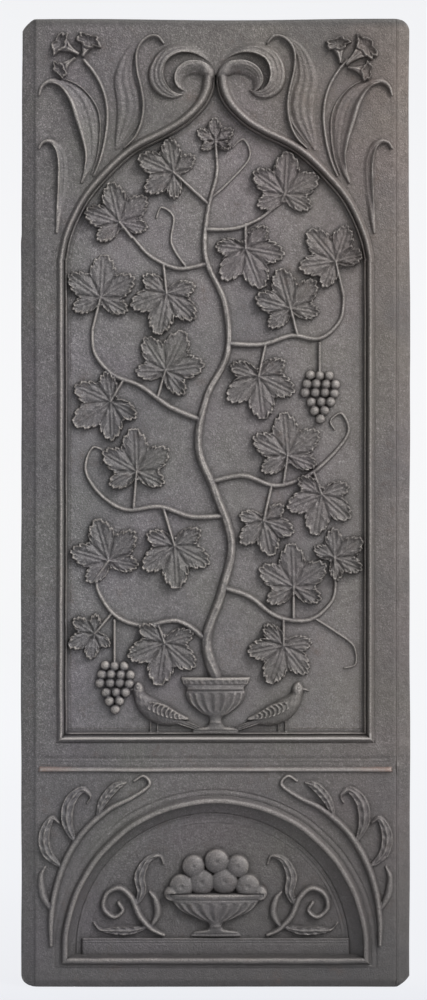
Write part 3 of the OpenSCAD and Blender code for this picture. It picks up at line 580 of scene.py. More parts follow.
def above_ogee(x, z):
    """How far a place lies outside the arch's middle line, below nothing inside it."""
    x, z = np.broadcast_arrays(np.asarray(x, float), np.asarray(z, float))
    q = np.stack([-np.abs(x).ravel(), z.ravel()], 1)
    best = np.full(len(q), 1e9)
    for a, b in zip(ogee[:-1], ogee[1:]):
        d = b - a
        t = np.clip((q - a) @ d / (d @ d), 0, 1)
        best = np.minimum(best, np.hypot(*(q - a - t[:, None] * d).T))
    over = q[:, 1] > np.interp(q[:, 0], ogee[:, 0], ogee[:, 1], left=-1e9, right=ARCH_TOP)
    return np.where(over, best, -best).reshape(x.shape)


# ---- boards ----


def back_outline(x, z):
    """Squeezes the plate's own grid into its outline, corners and all."""
    reach = np.where(x < 0, edge_at(z, -1), edge_at(z, 1))
    return wavy(x * reach / HALF, z)


def back_top(x, z):
    inside = (np.hypot(x, z - LUN) < COVE_R) | ((np.abs(x) < COVE_R) & (z < LUN) & (z > FOOT_RAIL))
    rim = step((np.hypot(x, np.maximum(z - LUN, 0)) - COVE_R + 20) / 3)
    return np.where(inside, lunette_floor(x, z) - 1.2 * rim, BASE - 0.02)


def back_low(x, z):
    """The rough back, taken off a little along both long sides."""
    rough = np.clip(0.25 + 0.22 * middling(x * 1.4, z) + 0.12 * close(x, z), 0, 1.2)
    return rough + 1.6 * step((np.abs(x) - HALF + 3.4) / 3.4) * (np.abs(x) > HALF - 3.3)


def make_back():
    xs, zs = lines(-HALF, HALF, 3.0), lines(0, TALL, 3.0)
    flat, faces = sheet_of(xs, zs, all_cells(xs, zs), back_top, back_low, back_outline)
    keep("back_plate", "iron_back", flat, faces, sharp=60)


def bevel_face(x, z, u, side):
    """The sloping strip along a long side, with its small grooves, knobs and chamfers."""
    d = border_face(side * x, z)
    if side < 0:
        d = d - 0.2 * bell((x - FIELD - 2.0) / 1.6)
    else:
        d = d + 0.3 * bell((x - FIELD) / 0.5) - 0.5 * bell((x - FIELD - 1.3) / 0.7)
    d = d + 0.08 * np.cos((x - FIELD) * 1.7) * step((x - FIELD - 3) / 3)
    edge = unit((u - 0.86) / 0.14)
    d = d - 1.7 * (1 - np.sqrt(unit(1 - edge * edge)))
    if side < 0:
        d = d + 1.6 * bell((x - 187) / 1.6) * bell((z - 228.5) / 1.5)
    else:
        d = d + 1.7 * bell((x - 182.5) / 2.6) * bell((z - 219.5) / 4.2)
    d = d - 3.4 * step((6 - z) / 6) ** 1.2
    return d - 1.2 * step((z - TALL + 2) / 2) ** 2


def make_bevels():
    ends = 14
    zs = [lines(0, ends, 1.0), lines(ends, TALL - ends, 2.5), lines(TALL - ends, TALL, 1.0)]
    t = [[0, 0.03, 0.06, 0.09, 0.12, 0.16, 0.2], np.linspace(0.26, 0.86, 8)]
    t += [[0.9, 0.93, 0.955, 0.975, 0.99, 1.0, 1.0]]
    z, u = np.meshgrid(np.unique(np.concatenate(zs)), np.concatenate(t), indexing="ij")
    n, k = z.shape
    a, last = corners(n, k), (n - 1) * k
    for side, word in SIDES:
        x = FIELD + (edge_at(z, side) - FIELD) * u
        d = bevel_face(x, z, u, side)
        d[:, -1] = BASE - 0.02
        sx, sz = wavy(side * x, z)
        quads = np.stack([a, a + 1, a + k + 1, a + k], 1)
        rim = [(p + k, p) for p in range(0, last, k)][::-1]
        rim += [(p + 1, p) for p in range(last, n * k - 1)] + [(p, p + 1) for p in range(k - 1)]
        loop = np.array(rim)
        if side < 0:
            quads, loop = quads[:, ::-1], loop[:, ::-1]
        low = np.full(x.shape, BASE - 0.05)
        keep_strip(word + "_edge_bevel", "iron_border", net(sx, sz, d), net(sx, sz, low), quads, loop, 60)


def head_face(x, z):
    return border_face(x, z) - 1.4 * step((z - TALL + 3) / 3) ** 2


def foot_face(x, z):
    return border_face(x, z) - 3.6 * unit((6 - z) / 6) - 0.5 * bell((z - 5.5) / 1.4)


def rail_face(x, z):
    """The middle rail, with two fine grooves above the cross bead."""
    over, run = z - CROSS, step((EDGE + 16 - np.abs(x)) / 3)
    d = -0.5 * bell((over - 10.4) / 0.8) + 0.12 * bell((over - 8.6) / 0.8) - 0.35 * bell((over - 7) / 0.7)
    return border_face(x, z) + run * d


def make_boards():
    for side, word in SIDES:
        a, b = (-FIELD, -EDGE - 1.2) if side < 0 else (EDGE + 1.2, FIELD)
        board(word + "_stile", "iron_border", (a, b, RAIL_TOP, SPRING), border_face)
        a, b = (-FIELD, 0) if side < 0 else (0, FIELD)
        board(word + "_head_board", "iron_border", (a, b, SPRING, TALL), head_face,
            lambda x, z: above_ogee(x, z) > 6.0, pitch=1.25)
        board(word + "_lower_board", "iron_border", (a, b, FOOT_RAIL, LOWER_TOP), border_face,
            lambda x, z: np.hypot(x, np.maximum(z - LUN, 0)) > OUTER_R + 1.8, pitch=1.5)
    board("middle_rail", "iron_border", (-FIELD, FIELD, LOWER_TOP, RAIL_TOP), rail_face, pitch=1.0)
    board("bottom_rail", "iron_border", (-FIELD, FIELD, 0, FOOT_RAIL), foot_face, pitch=1.0)
    board("panel_ground", "iron_ground", (-BEAD_X, BEAD_X, SILL, ARCH_TOP), panel_floor,
        lambda x, z: above_ogee(x, z) < 0.5, place=lambda x, z: (x, z))


# ---- mouldings ----


# Rows across a framing bead: offset towards the panel, what the depth is counted from, and the rest of it
UPRIGHT_ROWS = [(-6.6, 0, -0.3), (-5.6, 0, 0.06), (-5.0, 0, -0.55), (-4.3, 0, -0.3), (-3.3, 1, -3.2),
    (-2.3, 1, -1.8), (-1.4, 1, -0.7), (-0.5, 1, 0), (0.5, 1, -0.4), (1.4, 1, -1.6), (2.1, 1, -3.4),
    (2.6, 2, 4.0), (3.0, 2, 3.1), (3.6, 2, 3.5), (4.2, 2, 4.7), (4.8, 2, 4.9), (5.3, 2, 4.2),
    (5.7, 2, 2.2), (6.1, 2, 0.2), (6.8, 2, -0.8), (7.6, 2, -0.4), (8.8, 2, 0.1), (10, 2, 0.08),
    (11.5, 2, -0.3)]
TUBE_ROWS = [(-8.0, 0, -0.3), (-6.8, 0, 0.05), (-5.8, 0, 0.1), (-5.0, 0, 0.4), (-4.3, 1, -4.9),
    (-3.4, 1, -2.7), (-2.4, 1, -1.2), (-1.2, 1, -0.3), (0, 1, 0), (1.1, 1, -0.7), (2.0, 1, -2.2),
    (2.8, 1, -5.0), (3.3, 2, 5.6), (3.8, 2, 6.3), (4.4, 2, 6.9), (5.0, 2, 6.0), (5.5, 2, 3.4),
    (5.9, 2, 0.6), (6.6, 2, -0.9), (7.4, 2, -0.5), (8.4, 2, 0.05), (9.6, 2, 0.08), (11, 2, 0.05),
    (13, 2, -0.3)]
# Rows across the lunette's rib: offset outwards from its crest, and the same
RIB_ROWS = [(14.2, 0, -0.3), (12.6, 0, 0.07), (11.6, 0, -0.5), (10.8, 0, -0.9), (10.0, 1, 0.8),
    (8.4, 1, 1.15), (6.4, 1, 1.05), (5.6, 1, 0.8), (5.0, 1, 0.7), (4.5, 1, 1.3), (3.8, 1, 2.9),
    (3.1, 2, -2.4), (2.3, 2, -0.9), (1.2, 2, -0.2), (0, 2, 0), (-1.0, 2, -0.2), (-1.8, 2, -0.7),
    (-2.2, 2, -1.9), (-2.4, 2, -4), (-2.8, 0, -1.4), (-3.4, 0, -3), (-4.6, 0, -4.4)]


def rows_of(table, *marks):
    return np.array([(a, marks[b] + c) for a, b, c in table])


def make_mouldings():
    rows = rows_of(UPRIGHT_ROWS, BORDER, BEAD_TOP, GROUND)
    tube = rows_of(TUBE_ROWS, BORDER, OGEE_TOP - 0.2, GROUND)
    tang = np.gradient(ogee, axis=0)
    tang = tang / np.hypot(tang[:, 0], tang[:, 1])[:, None]
    go = run_of(ogee)
    go = go / go[-1]
    share = step(go / 0.9)[:, None, None]
    across = rows * (1 - share) + tube * share  # the bead's section becomes the tube's on the way up
    across[:, :, 0] *= 1 + 0.22 * step((go - 0.82) / 0.15)[:, None]

    def meeting(x, z, s):
        return np.where((s > OGEE_R) & (np.abs(x) < 1.2), -2.5, 0)

    for side, word in SIDES:
        stations = []
        for z in lines(SILL, SPRING + 1.5, 3.0):
            share = max(1 - (z - SILL) / (SPRING - SILL), 0)
            stations.append((side * BEAD_X, z, -side, 0, 0, share))
        carried(word + "_upright_bead", stations, rows, 0.12, 20 + side)
        stations = [(-side * q[0], q[1], -side * t[1], -t[0]) for q, t in zip(ogee, tang)]
        carried(word + "_ogee_moulding", stations, across, 0.1, 30 + side, meeting)
    stations = [(x * BEAD_X, SILL, 0, 1, -x, 0) for x in lines(-1.0, 1.0, 0.02)]
    carried("sill_bead", stations, rows, 0.1, 41)


def make_cross_bead():
    r, rise = CROSS_R, CROSS_TOP - BORDER
    rows = [(-r - 3, -0.4), (-r - 1.8, 0.06), (-r - 0.9, -0.8), (-r - 0.1, -0.5)]
    rows += [(a * r, rise * (1 - a * a) ** 0.42 * (0.88 - 0.24 * a)) for a in np.linspace(-0.97, 0.97, 9)]
    rows += [(r + 0.1, -0.3), (r + 0.9, -0.6), (r + 1.8, 0.06), (r + 3, -0.4)]

    def ends(x, z, s):
        return -(rise + 0.6) * step((np.abs(x) - CROSS_HALF + 2.4) / 2.4) * bell(s / (r * 1.1))

    stations = [(x * CROSS_HALF, CROSS, 0, 1) for x in lines(-1.0, 1.0, 0.012)]
    carried("cross_bead", stations, [(a, BORDER + d) for a, d in rows], 0.15, 43, ends)


def make_ribs():
    """The round rib, which runs down into two short legs, and the sill between them."""
    foot = SILL_LOW - 1
    table = rows_of(RIB_ROWS, BORDER, BAND, RIB_TOP)
    off, deep = table[None, :, 0], table[None, :, 1]
    low = np.where(off > 5, 5 + (off - 5) * 0.6, off)
    t = np.linspace(1, 0, 8)[:-1, None]
    legs_x = np.broadcast_to(CREST + off, (len(t), off.shape[1]))
    legs_z = LUN - t * (LUN - foot) - t * low
    a = np.radians(lines(0, 90, 1.5))[:, None]
    wob = waves(52, 8, 60)
    for side, word in SIDES:
        far = CREST + off + 0.12 * wob(a * 150, side + 0 * a)
        x = side * np.concatenate([legs_x, np.cos(a) * far])
        z = np.concatenate([legs_z, LUN + np.sin(a) * far])
        woven(word + "_lunette_rib", "iron_moulding", x, z, deep + uneven(x, z), BASE + 0.2)
    u = lines(-1.0, 1.0, 0.015)[:, None]
    x, z = u * (CREST + off), foot - low + 0 * u
    z = z + 0.12 * wob(x, z)
    woven("lunette_sill", "iron_moulding", x, z, deep + uneven(x, z), BASE + 0.3)


# Inside the lunette's hollow: offset and height of the lip at its foot, and of the ring beyond
LIP = [(-0.3, 0.15), (-0.9, 0), (-1.4, 0.75), (-2.1, 0.7), (-2.8, 0.16), (-3.6, 0.1)]
RING = [(2.0, 0.1), (1.2, 0.5), (0.5, 0.45), (-0.3, -0.5), (-1.0, -0.3), (-1.8, 0.1), (-3.2, 0.05),
    (-4.4, -0.6)]


def make_coves():
    """The hollow inside the rib: a little wider on the right, where a second ring runs below it."""
    wall = [(t, BASE + 1.1 + (BORDER + 0.5 - BASE - 1.1) * (1 - t) ** 1.25) for t in np.linspace(0, 1, 11)]
    ways = [(0.0, LUN - t * (LUN - SILL_LOW - 1.5)) for t in np.linspace(1, 0, 6)[:-1]]
    ways += [(b, LUN) for b in lines(0, 90, 1.5)]
    for side, word in SIDES:
        x, z, d = [], [], []
        for b, cz in ways:
            c, sn = math.cos(math.radians(b)), math.sin(math.radians(b))
            inner = COVE_R - 9.5 - side * 3.2 * c
            mark = step((b - 4) / 10) * step((62 - b) / 14) if side > 0 else 0.25 * step((b - 30) / 20)
            radii = [COVE_R + 1.2 + (inner - COVE_R - 1.2) * t for t, _ in wall]
            radii += [inner + q for q, _ in LIP] + [COVE_R - 16.4 + q for q, _ in RING]
            deeps = [q for _, q in wall] + [BASE + q for _, q in LIP]
            deeps += [BASE + 0.08 + (q if q < -0.55 else q * mark) for _, q in RING]
            x.append([side * c * r for r in radii])
            z.append([cz + sn * r for r in radii])
            d.append(deeps)
        x, z, d = np.array(x), np.array(z), np.array(d)
        woven(word + "_lunette_cove", "iron_border", x, z, d + 0.6 * uneven(x, z), BASE - 1)


def ledge_face(x, z):
    """The table ledge, with two grooves along it and rounded edges."""
    d = LEDGE_TOP + 0.5 * uneven(x, z) - 0.8 * step(z - LEDGE_Z + 1.0) ** 2
    d = d - 0.6 * bell((z - LEDGE_Z + 2.6) / 0.6) - 0.45 * bell((z - LEDGE_Z + 5.2) / 0.5)
    return d - 1.5 * step((np.abs(x) - LEDGE_HALF + 1.5) / 1.5) ** 2


def make_ledge():
    xs, zs = lines(-LEDGE_HALF, LEDGE_HALF, 2.0), lines(SILL_LOW + RIB_W - 1.5, LEDGE_Z, 0.75)
    low = BASE - 0.8
    keep("table_ledge", "iron_border",
        *sheet_of(xs, zs, all_cells(xs, zs), ledge_face, lambda x, z: np.full(x.shape, low)))


# ---- ornament of the head ----


def wall(s, w, run):
    """Rises from a stroke's edges to full height over a run."""
    return step((1 - np.abs(s)) * w / run)


def volute_form(s, u, w):
    """A tube that turns into a coil with a sharp outer edge."""
    curl = step((u - 0.06) / 0.2)
    t = -s
    coil = 0.26 + 0.66 * step((t + 1.0) / 1.6) + 0.10 * bell((t - 0.82) / 0.14)
    coil = coil + 0.035 * np.cos(t * 17) * step((u - 0.3) / 0.2)
    return dome(s, 0.55) * (1 - curl) + curl * coil * step((1 - t) * w) * step((1 + t) * w / 3.2)


def hook_form(s, u, w):
    """A leaf that is highest along its outer edge and fades inwards."""
    t = -s
    body = 0.98 - 0.26 * (t + 1) + 0.045 * np.cos((t + 1) * 12)
    body = body + 0.12 * bell((t + 0.88) / 0.12)
    fade = 6.0 - 4.2 * step((u - 0.35) / 0.35)
    return body * step((1 + t) * w) * step((1 - t) * w / fade) * (0.25 + 0.75 * step(u / 0.3))


def blade_form(s, u, w):
    """A low, hollow leaf with fine ribs, beside its rim."""
    t = -s
    body = 0.46 - 0.30 * bell((t - 0.78) / 0.26) + 0.06 * np.cos(t * 11.5 + 0.6) * step((1 - u) / 0.3)
    body = body * (1 - 0.5 * step((u - 0.4) / 0.4))
    return body * step((1 - t) * w / 0.9) * step((1 + t) * w / 2.4)


def leaf_form(s, u, w):
    """A leaf of the head: a sharp crest along its outer edge, and lower inwards."""
    wide = step((w - 2) / 3)
    crest = bell((s + 0.78) / 0.3)
    leaf = 0.30 - 0.10 * s + 0.62 * crest + 0.03 * np.cos((s + 0.7) * 12) * step((s + 0.3) / 0.3)
    leaf = leaf * step((1 + s) * w / 0.9) * step((1 - s) * w / 3.4)
    return leaf * wide + (1 - wide) * dome(s, 0.6)


def lily(line, side, seed):
    """A trumpet-shaped flower from its side: a ribbed cup and the wide ruffled mouth seen at a slant."""
    p = np.asarray(on_head(line), float)
    r = np.random.default_rng(seed)
    turn = 1 if side < 0 else -1
    x0, z0, x1, z1 = p[0, 0] * turn, p[0, 1], p[-1, 0] * turn, p[-1, 1]
    far = math.hypot(x1 - x0, z1 - z0)
    ax, az, w, top = (x1 - x0) / far, (z1 - z0) / far, p[-1, 2] * 1.16, p[-1, 3]
    k = r.uniform(0, 2 * math.pi, 4)

    def shape(x, z):
        a = (x - x0) * ax + (z - z0) * az
        b = (z - z0) * ax - (x - x0) * az
        u = np.clip(a / far, 0, 1)
        half = w * (0.15 + 0.75 * u ** 2.1)
        q = np.clip(b / half, -1, 1)
        cup = (0.50 + 0.34 * np.sqrt(1 - q * q)) * (1 + 0.10 * np.cos(q * 7 + k[3]))
        da, db = (a - far * 0.98) / (w * 0.52), b / w
        turned = np.arctan2(db, da)
        lobe = 1 + 0.13 * np.cos(5 * turned + k[0]) + 0.06 * np.cos(9 * turned + k[1])
        rho = np.hypot(da, db)
        rim = 0.46 + 0.46 * bell((lobe - rho - 0.13) / 0.17)
        rim = rim + 0.10 * np.cos(9 * turned + k[2]) * np.minimum(rho, 1)
        mouth = rim - 0.20 * bell(rho / 0.5)
        in_mouth = (lobe - rho) * w * 0.52
        in_cup = np.minimum(np.minimum(half - np.abs(b), a + 0.4), far * 1.1 - a)
        cup = cup * (1 - 0.3 * bell((in_mouth + 0.9) / 0.9))
        edge = np.maximum(in_mouth, in_cup)
        body = top * np.where(in_mouth > 0, mouth, cup) * step((edge + 0.4) / 1.5)
        return np.where(edge > 0, body, edge * 2)

    g = 0.3 * far + 1.3 * w + 3
    return (min(x0, x1) - g, max(x0, x1) + g, min(z0, z1) - g, max(z0, z1) + g), shape


# What differs from left to right
HEAD_FORMS = {-1: (VOLUTE, HOOK, TRUMPETS), 1: (VOLUTE_RIGHT, HOOK_RIGHT, TRUMPETS_RIGHT)}


def make_head():
    def one(name, seed, soft, *shapes):
        r = Relief.of([(*s, soft) for s in shapes], 5)
        r.keep(word + name, border_face, seed, grain=0.07)

    def drawn(line, form):
        return flipped(stroke(on_head(line), form=form), side)

    for side, word in SIDES:
        volute, hook, flowers = HEAD_FORMS[side]
        one("_volute", 1, 0.8, drawn(volute, volute_form))
        one("_hook_leaf", 2, 0.8, drawn(hook, hook_form))
        one("_blade_leaf", 3, 0.4, drawn(BLADE, blade_form), drawn(BLADE_RIM, round_top))
        one("_lily_stem", 4, 0.4, drawn(LILY, round_top))
        one("_upper_leaf", 5, 0.4, drawn(UPPER, leaf_form), drawn(VEIN, round_top))
        one("_lower_leaf", 6, 0.8, drawn(LOWER, leaf_form))
        one("_lily_flowers", 7, 0.4, *[lily(p, side, 70 + i + side) for i, p in enumerate(flowers)])


# ---- the vine ----


def bark_form(s, u, w):
    return dome(s, 0.6)


LOBES = [0.7, 0.9, 1.0, 0.9, 0.7]  # reach of a leaf's five lobes
APART = 58  # degrees from lobe to lobe
LEAF = 35.5  # mm from stalk to tip at size 1


def vine_leaf(cx, cz, size, turn, rise, seed):
    """A lobed and toothed leaf with its veins and a curled rim."""
    r = np.random.default_rng(seed)
    lift = r.uniform(0.72, 1.12, 5)
    bend = r.uniform(-6, 6, 5)
    curl = r.uniform(0, 2 * math.pi)
    teeth = r.uniform(9.0, 11.5)

    def reach(a):
        best = np.full(a.shape, 0.16)
        for k in range(-2, 3):
            off = a - APART * k - bend[k + 2] * 0.4
            t = np.minimum(np.abs(off) * 2 / APART, 1.9)
            tooth = np.abs(np.sin(off / teeth * math.pi + k)) ** 0.7
            tooth = tooth + 0.35 * np.abs(np.sin(off / teeth * 8 + 2 * k))
            notch = 1 + 0.085 * (tooth - 0.8) * step((t + 0.2) / 0.5)
            lobe = LOBES[k + 2] * (1.04 - 0.37 * t**1.25) * notch
            best = np.maximum(best, lobe)
        return size * best

    def shape(x, z):
        dx, dz = x - cx, z - cz
        rho = np.hypot(dx, dz) + 1e-6
        a = np.degrees(np.arctan2(dz, dx)) - turn
        a = (a + 180) % 360 - 180
        far = reach(a)
        slope = (reach(a + 1) - reach(a - 1)) / math.radians(2) / rho
        edge = (far - rho) / np.sqrt(1 + np.clip(slope, -2.2, 2.2) ** 2)
        v = unit(rho / far)
        k = np.clip(np.round(a / APART), -2, 2)
        ki = k.astype(int) + 2
        off = np.radians(a - APART * k)
        lateral = rho * np.sin(off)
        axial = rho * np.cos(off)
        own = lift[ki]
        share = unit(np.abs(a - APART * k) / (APART / 2))
        puff = bell((share - 0.5) / 0.36) * step((v - 0.08) / 0.3)
        body = 0.36 + 0.13 * v * own + 0.17 * puff - 0.20 * share**4 * step(v * 2.2)
        vein = bell(lateral / 0.85) * (1 - 0.5 * v) * step((size * np.array(LOBES)[ki] * 0.93 - axial) / 4)
        trench = bell(np.abs(lateral) - 2.3) * (1 - 0.7 * v)
        side_vein = np.abs(((axial - np.abs(lateral) * 1.15) / (size * 0.2)) % 1 - 0.5) * 2
        ribs = bell((1 - side_vein) * size * 0.1 / 0.9) * step((share - 0.05) / 0.15) * step(edge / 3)
        bead = 0.85 + 0.5 * np.cos(a * 0.62 + curl) * np.cos(a * 0.23 + 2 * curl)
        rim = bell(edge - 1.4) * bead
        tilt = 1 + 0.24 * np.cos(np.arctan2(dz, dx) - curl) * v
        h = (body + 0.17 * vein - 0.13 * trench + 0.05 * ribs + 0.36 * rim * own) * tilt
        h = rise * h * step(edge + 0.15)
        return np.where(edge > 0, h, edge * 2.0)

    g = size * 1.14 + 2
    return (cx - g, cx + g, cz - g, cz + g), shape


def leaf_in(relief, spec, seed):
    """A leaf and its stalk."""
    x, z, size, turn, from_x, from_z = spec
    leaf, start = on_panel([[x, z], [from_x, from_z]])
    relief.add(*stroke([[*start, 1.9, 4.4], [*leaf, 1.7, 5.4]], 2), soft=0.5)
    relief.add(*vine_leaf(*leaf, size * LEAF, turn, 7.4, seed), soft=0.5)


def make_trunk():
    r = Relief(-36, 32, SILL + 50, SILL + 600)
    r.add(*stroke(on_panel(TRUNK), 6, bark_form), soft=0.5)
    twist = waves(77, 8, 30)
    w = r.window(-36, 32, SILL + 40, SILL + 610)
    q, s, along, wide, _, _ = near(catmull(on_panel(TRUNK), 6), r.x[w], r.z[w])
    groove = 0.34 * np.cos(s * 7 + 0.05 * along + 1.1 * twist(along, 0 * along)) * step((wide - 1.8) / 2)
    knots = np.zeros(s.shape)
    for at in np.cumsum(np.random.default_rng(12).uniform(24, 46, 16)):
        knots += 0.7 * bell((along - at) / 3.2)
    r.h[w] += (groove + knots) * step((1 - q) / 0.5) * (q < 1)
    r.keep("vine_trunk", panel_floor, 11)


def make_branches():
    seed = 200
    for name, (stems, leaves) in BRANCHES.items():
        stems = [on_panel(p) for p in stems]
        places = [p[:2] for line in stems for p in line] + on_panel([leaf[:2] for leaf in leaves])
        r = Relief.over([(x, x, z, z) for x, z in places], 42)
        for line in stems:
            r.add(*stroke(line, 6), soft=0.5)
        for spec in leaves:
            seed += 1
            leaf_in(r, spec, seed)
        inside = step((BEAD_X - BEAD_R - 0.5 - np.abs(r.x)) / 2.5) * step((-above_ogee(r.x, r.z) - 5) / 3)
        r.h = np.where(inside < 1, r.h * inside - (1 - inside) * 1.5, r.h)
        r.keep(name, panel_floor, seed)


def make_bunches():
    for name, ends in BUNCHES.items():
        (x0, z0), top = on_panel(ends)[0][:2], on_panel(ends)[1][1]
        r = Relief(x0 - 28, x0 + 28, z0 - 62, top + 6)
        r.add(*stroke(on_panel(ends)[::-1], 4), soft=0.5)
        draw = np.random.default_rng(5).uniform
        for row, many in enumerate(BERRY_ROWS):
            for i in range(many):
                x = x0 + (i - (many - 1) / 2) * 9.5 + (row % 2) * 1.2 + draw(-0.5, 0.5)
                z = z0 - row * 8.75 + draw(-0.5, 0.5)
                ball(r, x, z, 5.1, 7.2 + draw(-0.8, 0.6))
        r.keep(name, panel_floor, 31, grain=0.04)


def ball(relief, x, z, radius, high, dimple=0.0):
    """Adds a berry or a fruit, with a dimple if it has one."""

    def shape(gx, gz):
        q = np.hypot(gx - x, gz - z) / radius
        body = high * (0.25 + 0.75 * dome(q, 0.5)) * step((1.02 - q) / 0.12)
        body = body - dimple * bell(q / 0.16)
        return np.where(q < 1, body, -(q - 1) * radius * 2)

    g = radius + 2
    relief.add((x - g, x + g, z - g, z + g), shape, soft=0.25)


def vessel(profile, marks):
    """A turned vessel seen from its side: a profile of up, half width and height, and its marks."""
    p = catmull(profile, 8)

    def shape(x, z):
        w = np.interp(z, p[:, 0], p[:, 1])
        h = np.interp(z, p[:, 0], p[:, 2])
        s = x / w
        body = h * (0.30 + 0.70 * dome(s, 0.6)) * step((1 - np.abs(s)) * w / 1.2)
        body = body + marks(np.arcsin(np.clip(s, -1, 1)), z)
        end = np.minimum(z - p[0, 0], p[-1, 0] - z)
        inside = (np.abs(s) < 1) & (end > 0)
        out = -np.maximum((np.abs(s) - 1) * w, -end) * 1.5
        return np.where(inside, body * step((end + 0.3) / 1.2), np.minimum(out, -0.01))

    wide = p[:, 1].max() + 3
    return (-wide, wide, p[0, 0] - 3, p[-1, 0] + 3), shape


def make_urn():
    prof = [[SILL + up * PANEL, half * WIDE, high] for up, half, high in URN]

    def marks(a, z):
        t = (z - SILL) / PANEL
        flutes = 0.75 * np.cos(a * 18) * (step((t - 25) / 3) * step((46 - t) / 3))
        bands = 0.9 * bell((t - 49.5) / 1.3) + 1.1 * bell((t - 59) / 1.6) - 0.9 * bell((t - 47) / 0.8)
        bands = bands - 0.8 * bell((t - 53) / 0.8) + 0.7 * bell((t - 16) / 1.4) - 0.5 * bell((t - 7) / 0.7)
        return flutes + bands + 0.5 * np.cos(a * 30) * bell((t - 56) / 1.6)

    r = Relief(-40, 40, SILL, SILL + 68)
    r.add(*vessel(prof, marks), soft=0.5)
    r.keep("urn", panel_floor, 41, grain=0.05)


# A bird on the left, seen from its side: across from its perch, up, half width and height
BIRD = [[-34, 14, 2.4, 3], [-24, 17, 4.2, 5], [-12, 21, 9.2, 7.6], [0, 27, 11.2, 8.6], [10, 35, 8.7, 8],
    [15, 43, 5.8, 7], [16, 49, 5.9, 7.4], [16.5, 53.5, 2.6, 5]]
WING = [[-33, 19, 1.6, 6], [-20, 23, 4.4, 9], [-8, 28, 6.4, 10.4], [3, 32, 5, 10], [8, 34, 1.6, 8]]
BEAK = [[17, 49, 2.4, 4.5], [23, 48.4, 1.4, 3.5], [27, 47, 0.7, 2]]
TAIL = [[-22, 17, 3.4, 4.6], [-34, 13, 3.2, 4], [-44, 9, 2.8, 3]]


def feathers(s, u, w):
    rows = 0.10 * np.cos(u * 60 + s * s * 6) * step((u - 0.05) / 0.2)
    return (0.86 + rows + 0.1 * bell((np.abs(s) - 0.85) / 0.2)) * wall(s, w, 1.0)


def down(s, u, w):
    scales = 0.05 * np.cos(u * 46 + s * 3) * np.cos(s * 8)
    return dome(s, 0.58) + scales * (1 - np.abs(s))


def quills(s, u, w):
    return (0.8 + 0.2 * np.cos(s * 10)) * wall(s, w, 0.9)


def make_birds():
    for (side, word), perch in zip(SIDES, (61, 66)):
        def place(p):
            return on_panel([[-q[0] - perch, *q[1:]] for q in p])

        shapes = [(BIRD, down, 0.6), (TAIL, quills, 0.5), (WING, feathers, 0.2), (BEAK, round_top, 0.3)]
        got = [(*flipped(stroke(place(p), 6, form), side), soft) for p, form, soft in shapes]
        r = Relief.of(got, 4, foot=SILL - 2)
        for foot in (-3, 4):
            leg = place([[foot, 17, 1.1, 3], [foot, 5.5, 0.9, 2.6]])
            r.add(*flipped(stroke(leg, 2), side), soft=0.3)
            for toe in (-4, 1, 5):
                line = place([[foot, 6, 0.9, 2.6], [foot + toe, 4.4, 0.7, 2]])
                r.add(*flipped(stroke(line, 2), side), soft=0.3)
        ex, ez = place([[17.2, 50.4]])[0]
        ex = ex if side < 0 else -ex

        def eye(x, z):
            far = np.hypot(x - ex, z - ez)
            return 0.7 * bell(far / 0.8) - 0.8 * bell((far - 1.7) / 0.6)

        r.raised((ex - 5, ex + 5, ez - 5, ez + 5), eye)
        r.keep(word + "_bird", panel_floor, 50 + side, grain=0.06)


# ---- lunette ----


def lunette_ground(x, z):
    """What the scrolls stand on: the lunette's floor, and the ledge where it lies."""
    on_ledge = (z < LEDGE_Z) & (np.abs(x) < LEDGE_HALF)
    return np.where(on_ledge, LEDGE_TOP + 0.5 * uneven(x, z), lunette_floor(x, z))


def frond(s, u, w):
    """A leaf with a rib along its middle, raised edges and fine ribs across."""
    body = 0.62 + 0.30 * bell(s / 0.22) + 0.14 * bell((np.abs(s) - 0.84) / 0.18)
    return (body + 0.07 * np.cos(u * 40 - np.abs(s) * 5)) * wall(s, w, 1.1)


def make_bowl():
    prof = [[LUN + up * ROUND, half * ROUND, high] for up, half, high in BOWL]

    def marks(a, z):
        t = (z - LUN) / ROUND
        flutes = 0.8 * np.cos(a * 20) * (step((t - 29) / 3) * step((48 - t) / 2))
        flutes = flutes + 1.0 * bell((t - 55) / 1.6) - 0.9 * bell((t - 50.5) / 0.9)
        return flutes + 0.7 * bell((t - 24) / 1.3) - 0.5 * bell((t - 16) / 0.8)

    r = Relief(-54, 54, LUN + 8, LUN + 62)
    r.add(*vessel(prof, marks), soft=0.5)
    r.keep("fruit_bowl", lunette_floor, 61, grain=0.05)

    r = Relief(-60, 60, LUN + 44, LUN + 108)
    draw = np.random.default_rng(9).uniform
    for x, z, size in on_round(FRUIT):
        ball(r, x, z, size, 9.0 + draw(-0.8, 1.2), dimple=1.1)
    box, bowl = vessel(prof, lambda a, z: 0 * z)
    w = r.window(*box)
    r.h[w] = np.where(bowl(r.x[w], r.z[w]) > 0.4, np.minimum(r.h[w], 6.0), r.h[w])
    r.keep("bowl_fruit", lunette_floor, 62, grain=0.05)


def make_scrolls():
    """The scrolls beside the bowl, and the leaf sprays on the lunette's shoulders."""
    kinds = (("_scroll", SCROLLS, lunette_ground), ("_shoulder_spray", SPRAYS, border_face))
    for side, word in SIDES:
        for name, many, floor in kinds:
            shapes = []
            for p in many:
                form = frond if max(q[2] for q in p) > 4.2 else round_top
                shapes.append((*flipped(stroke(on_round(p), 6, form), side), 0.5))
            Relief.of(shapes, 3).keep(word + name, floor, 70 + side, grain=0.06)


# ---- materials ----


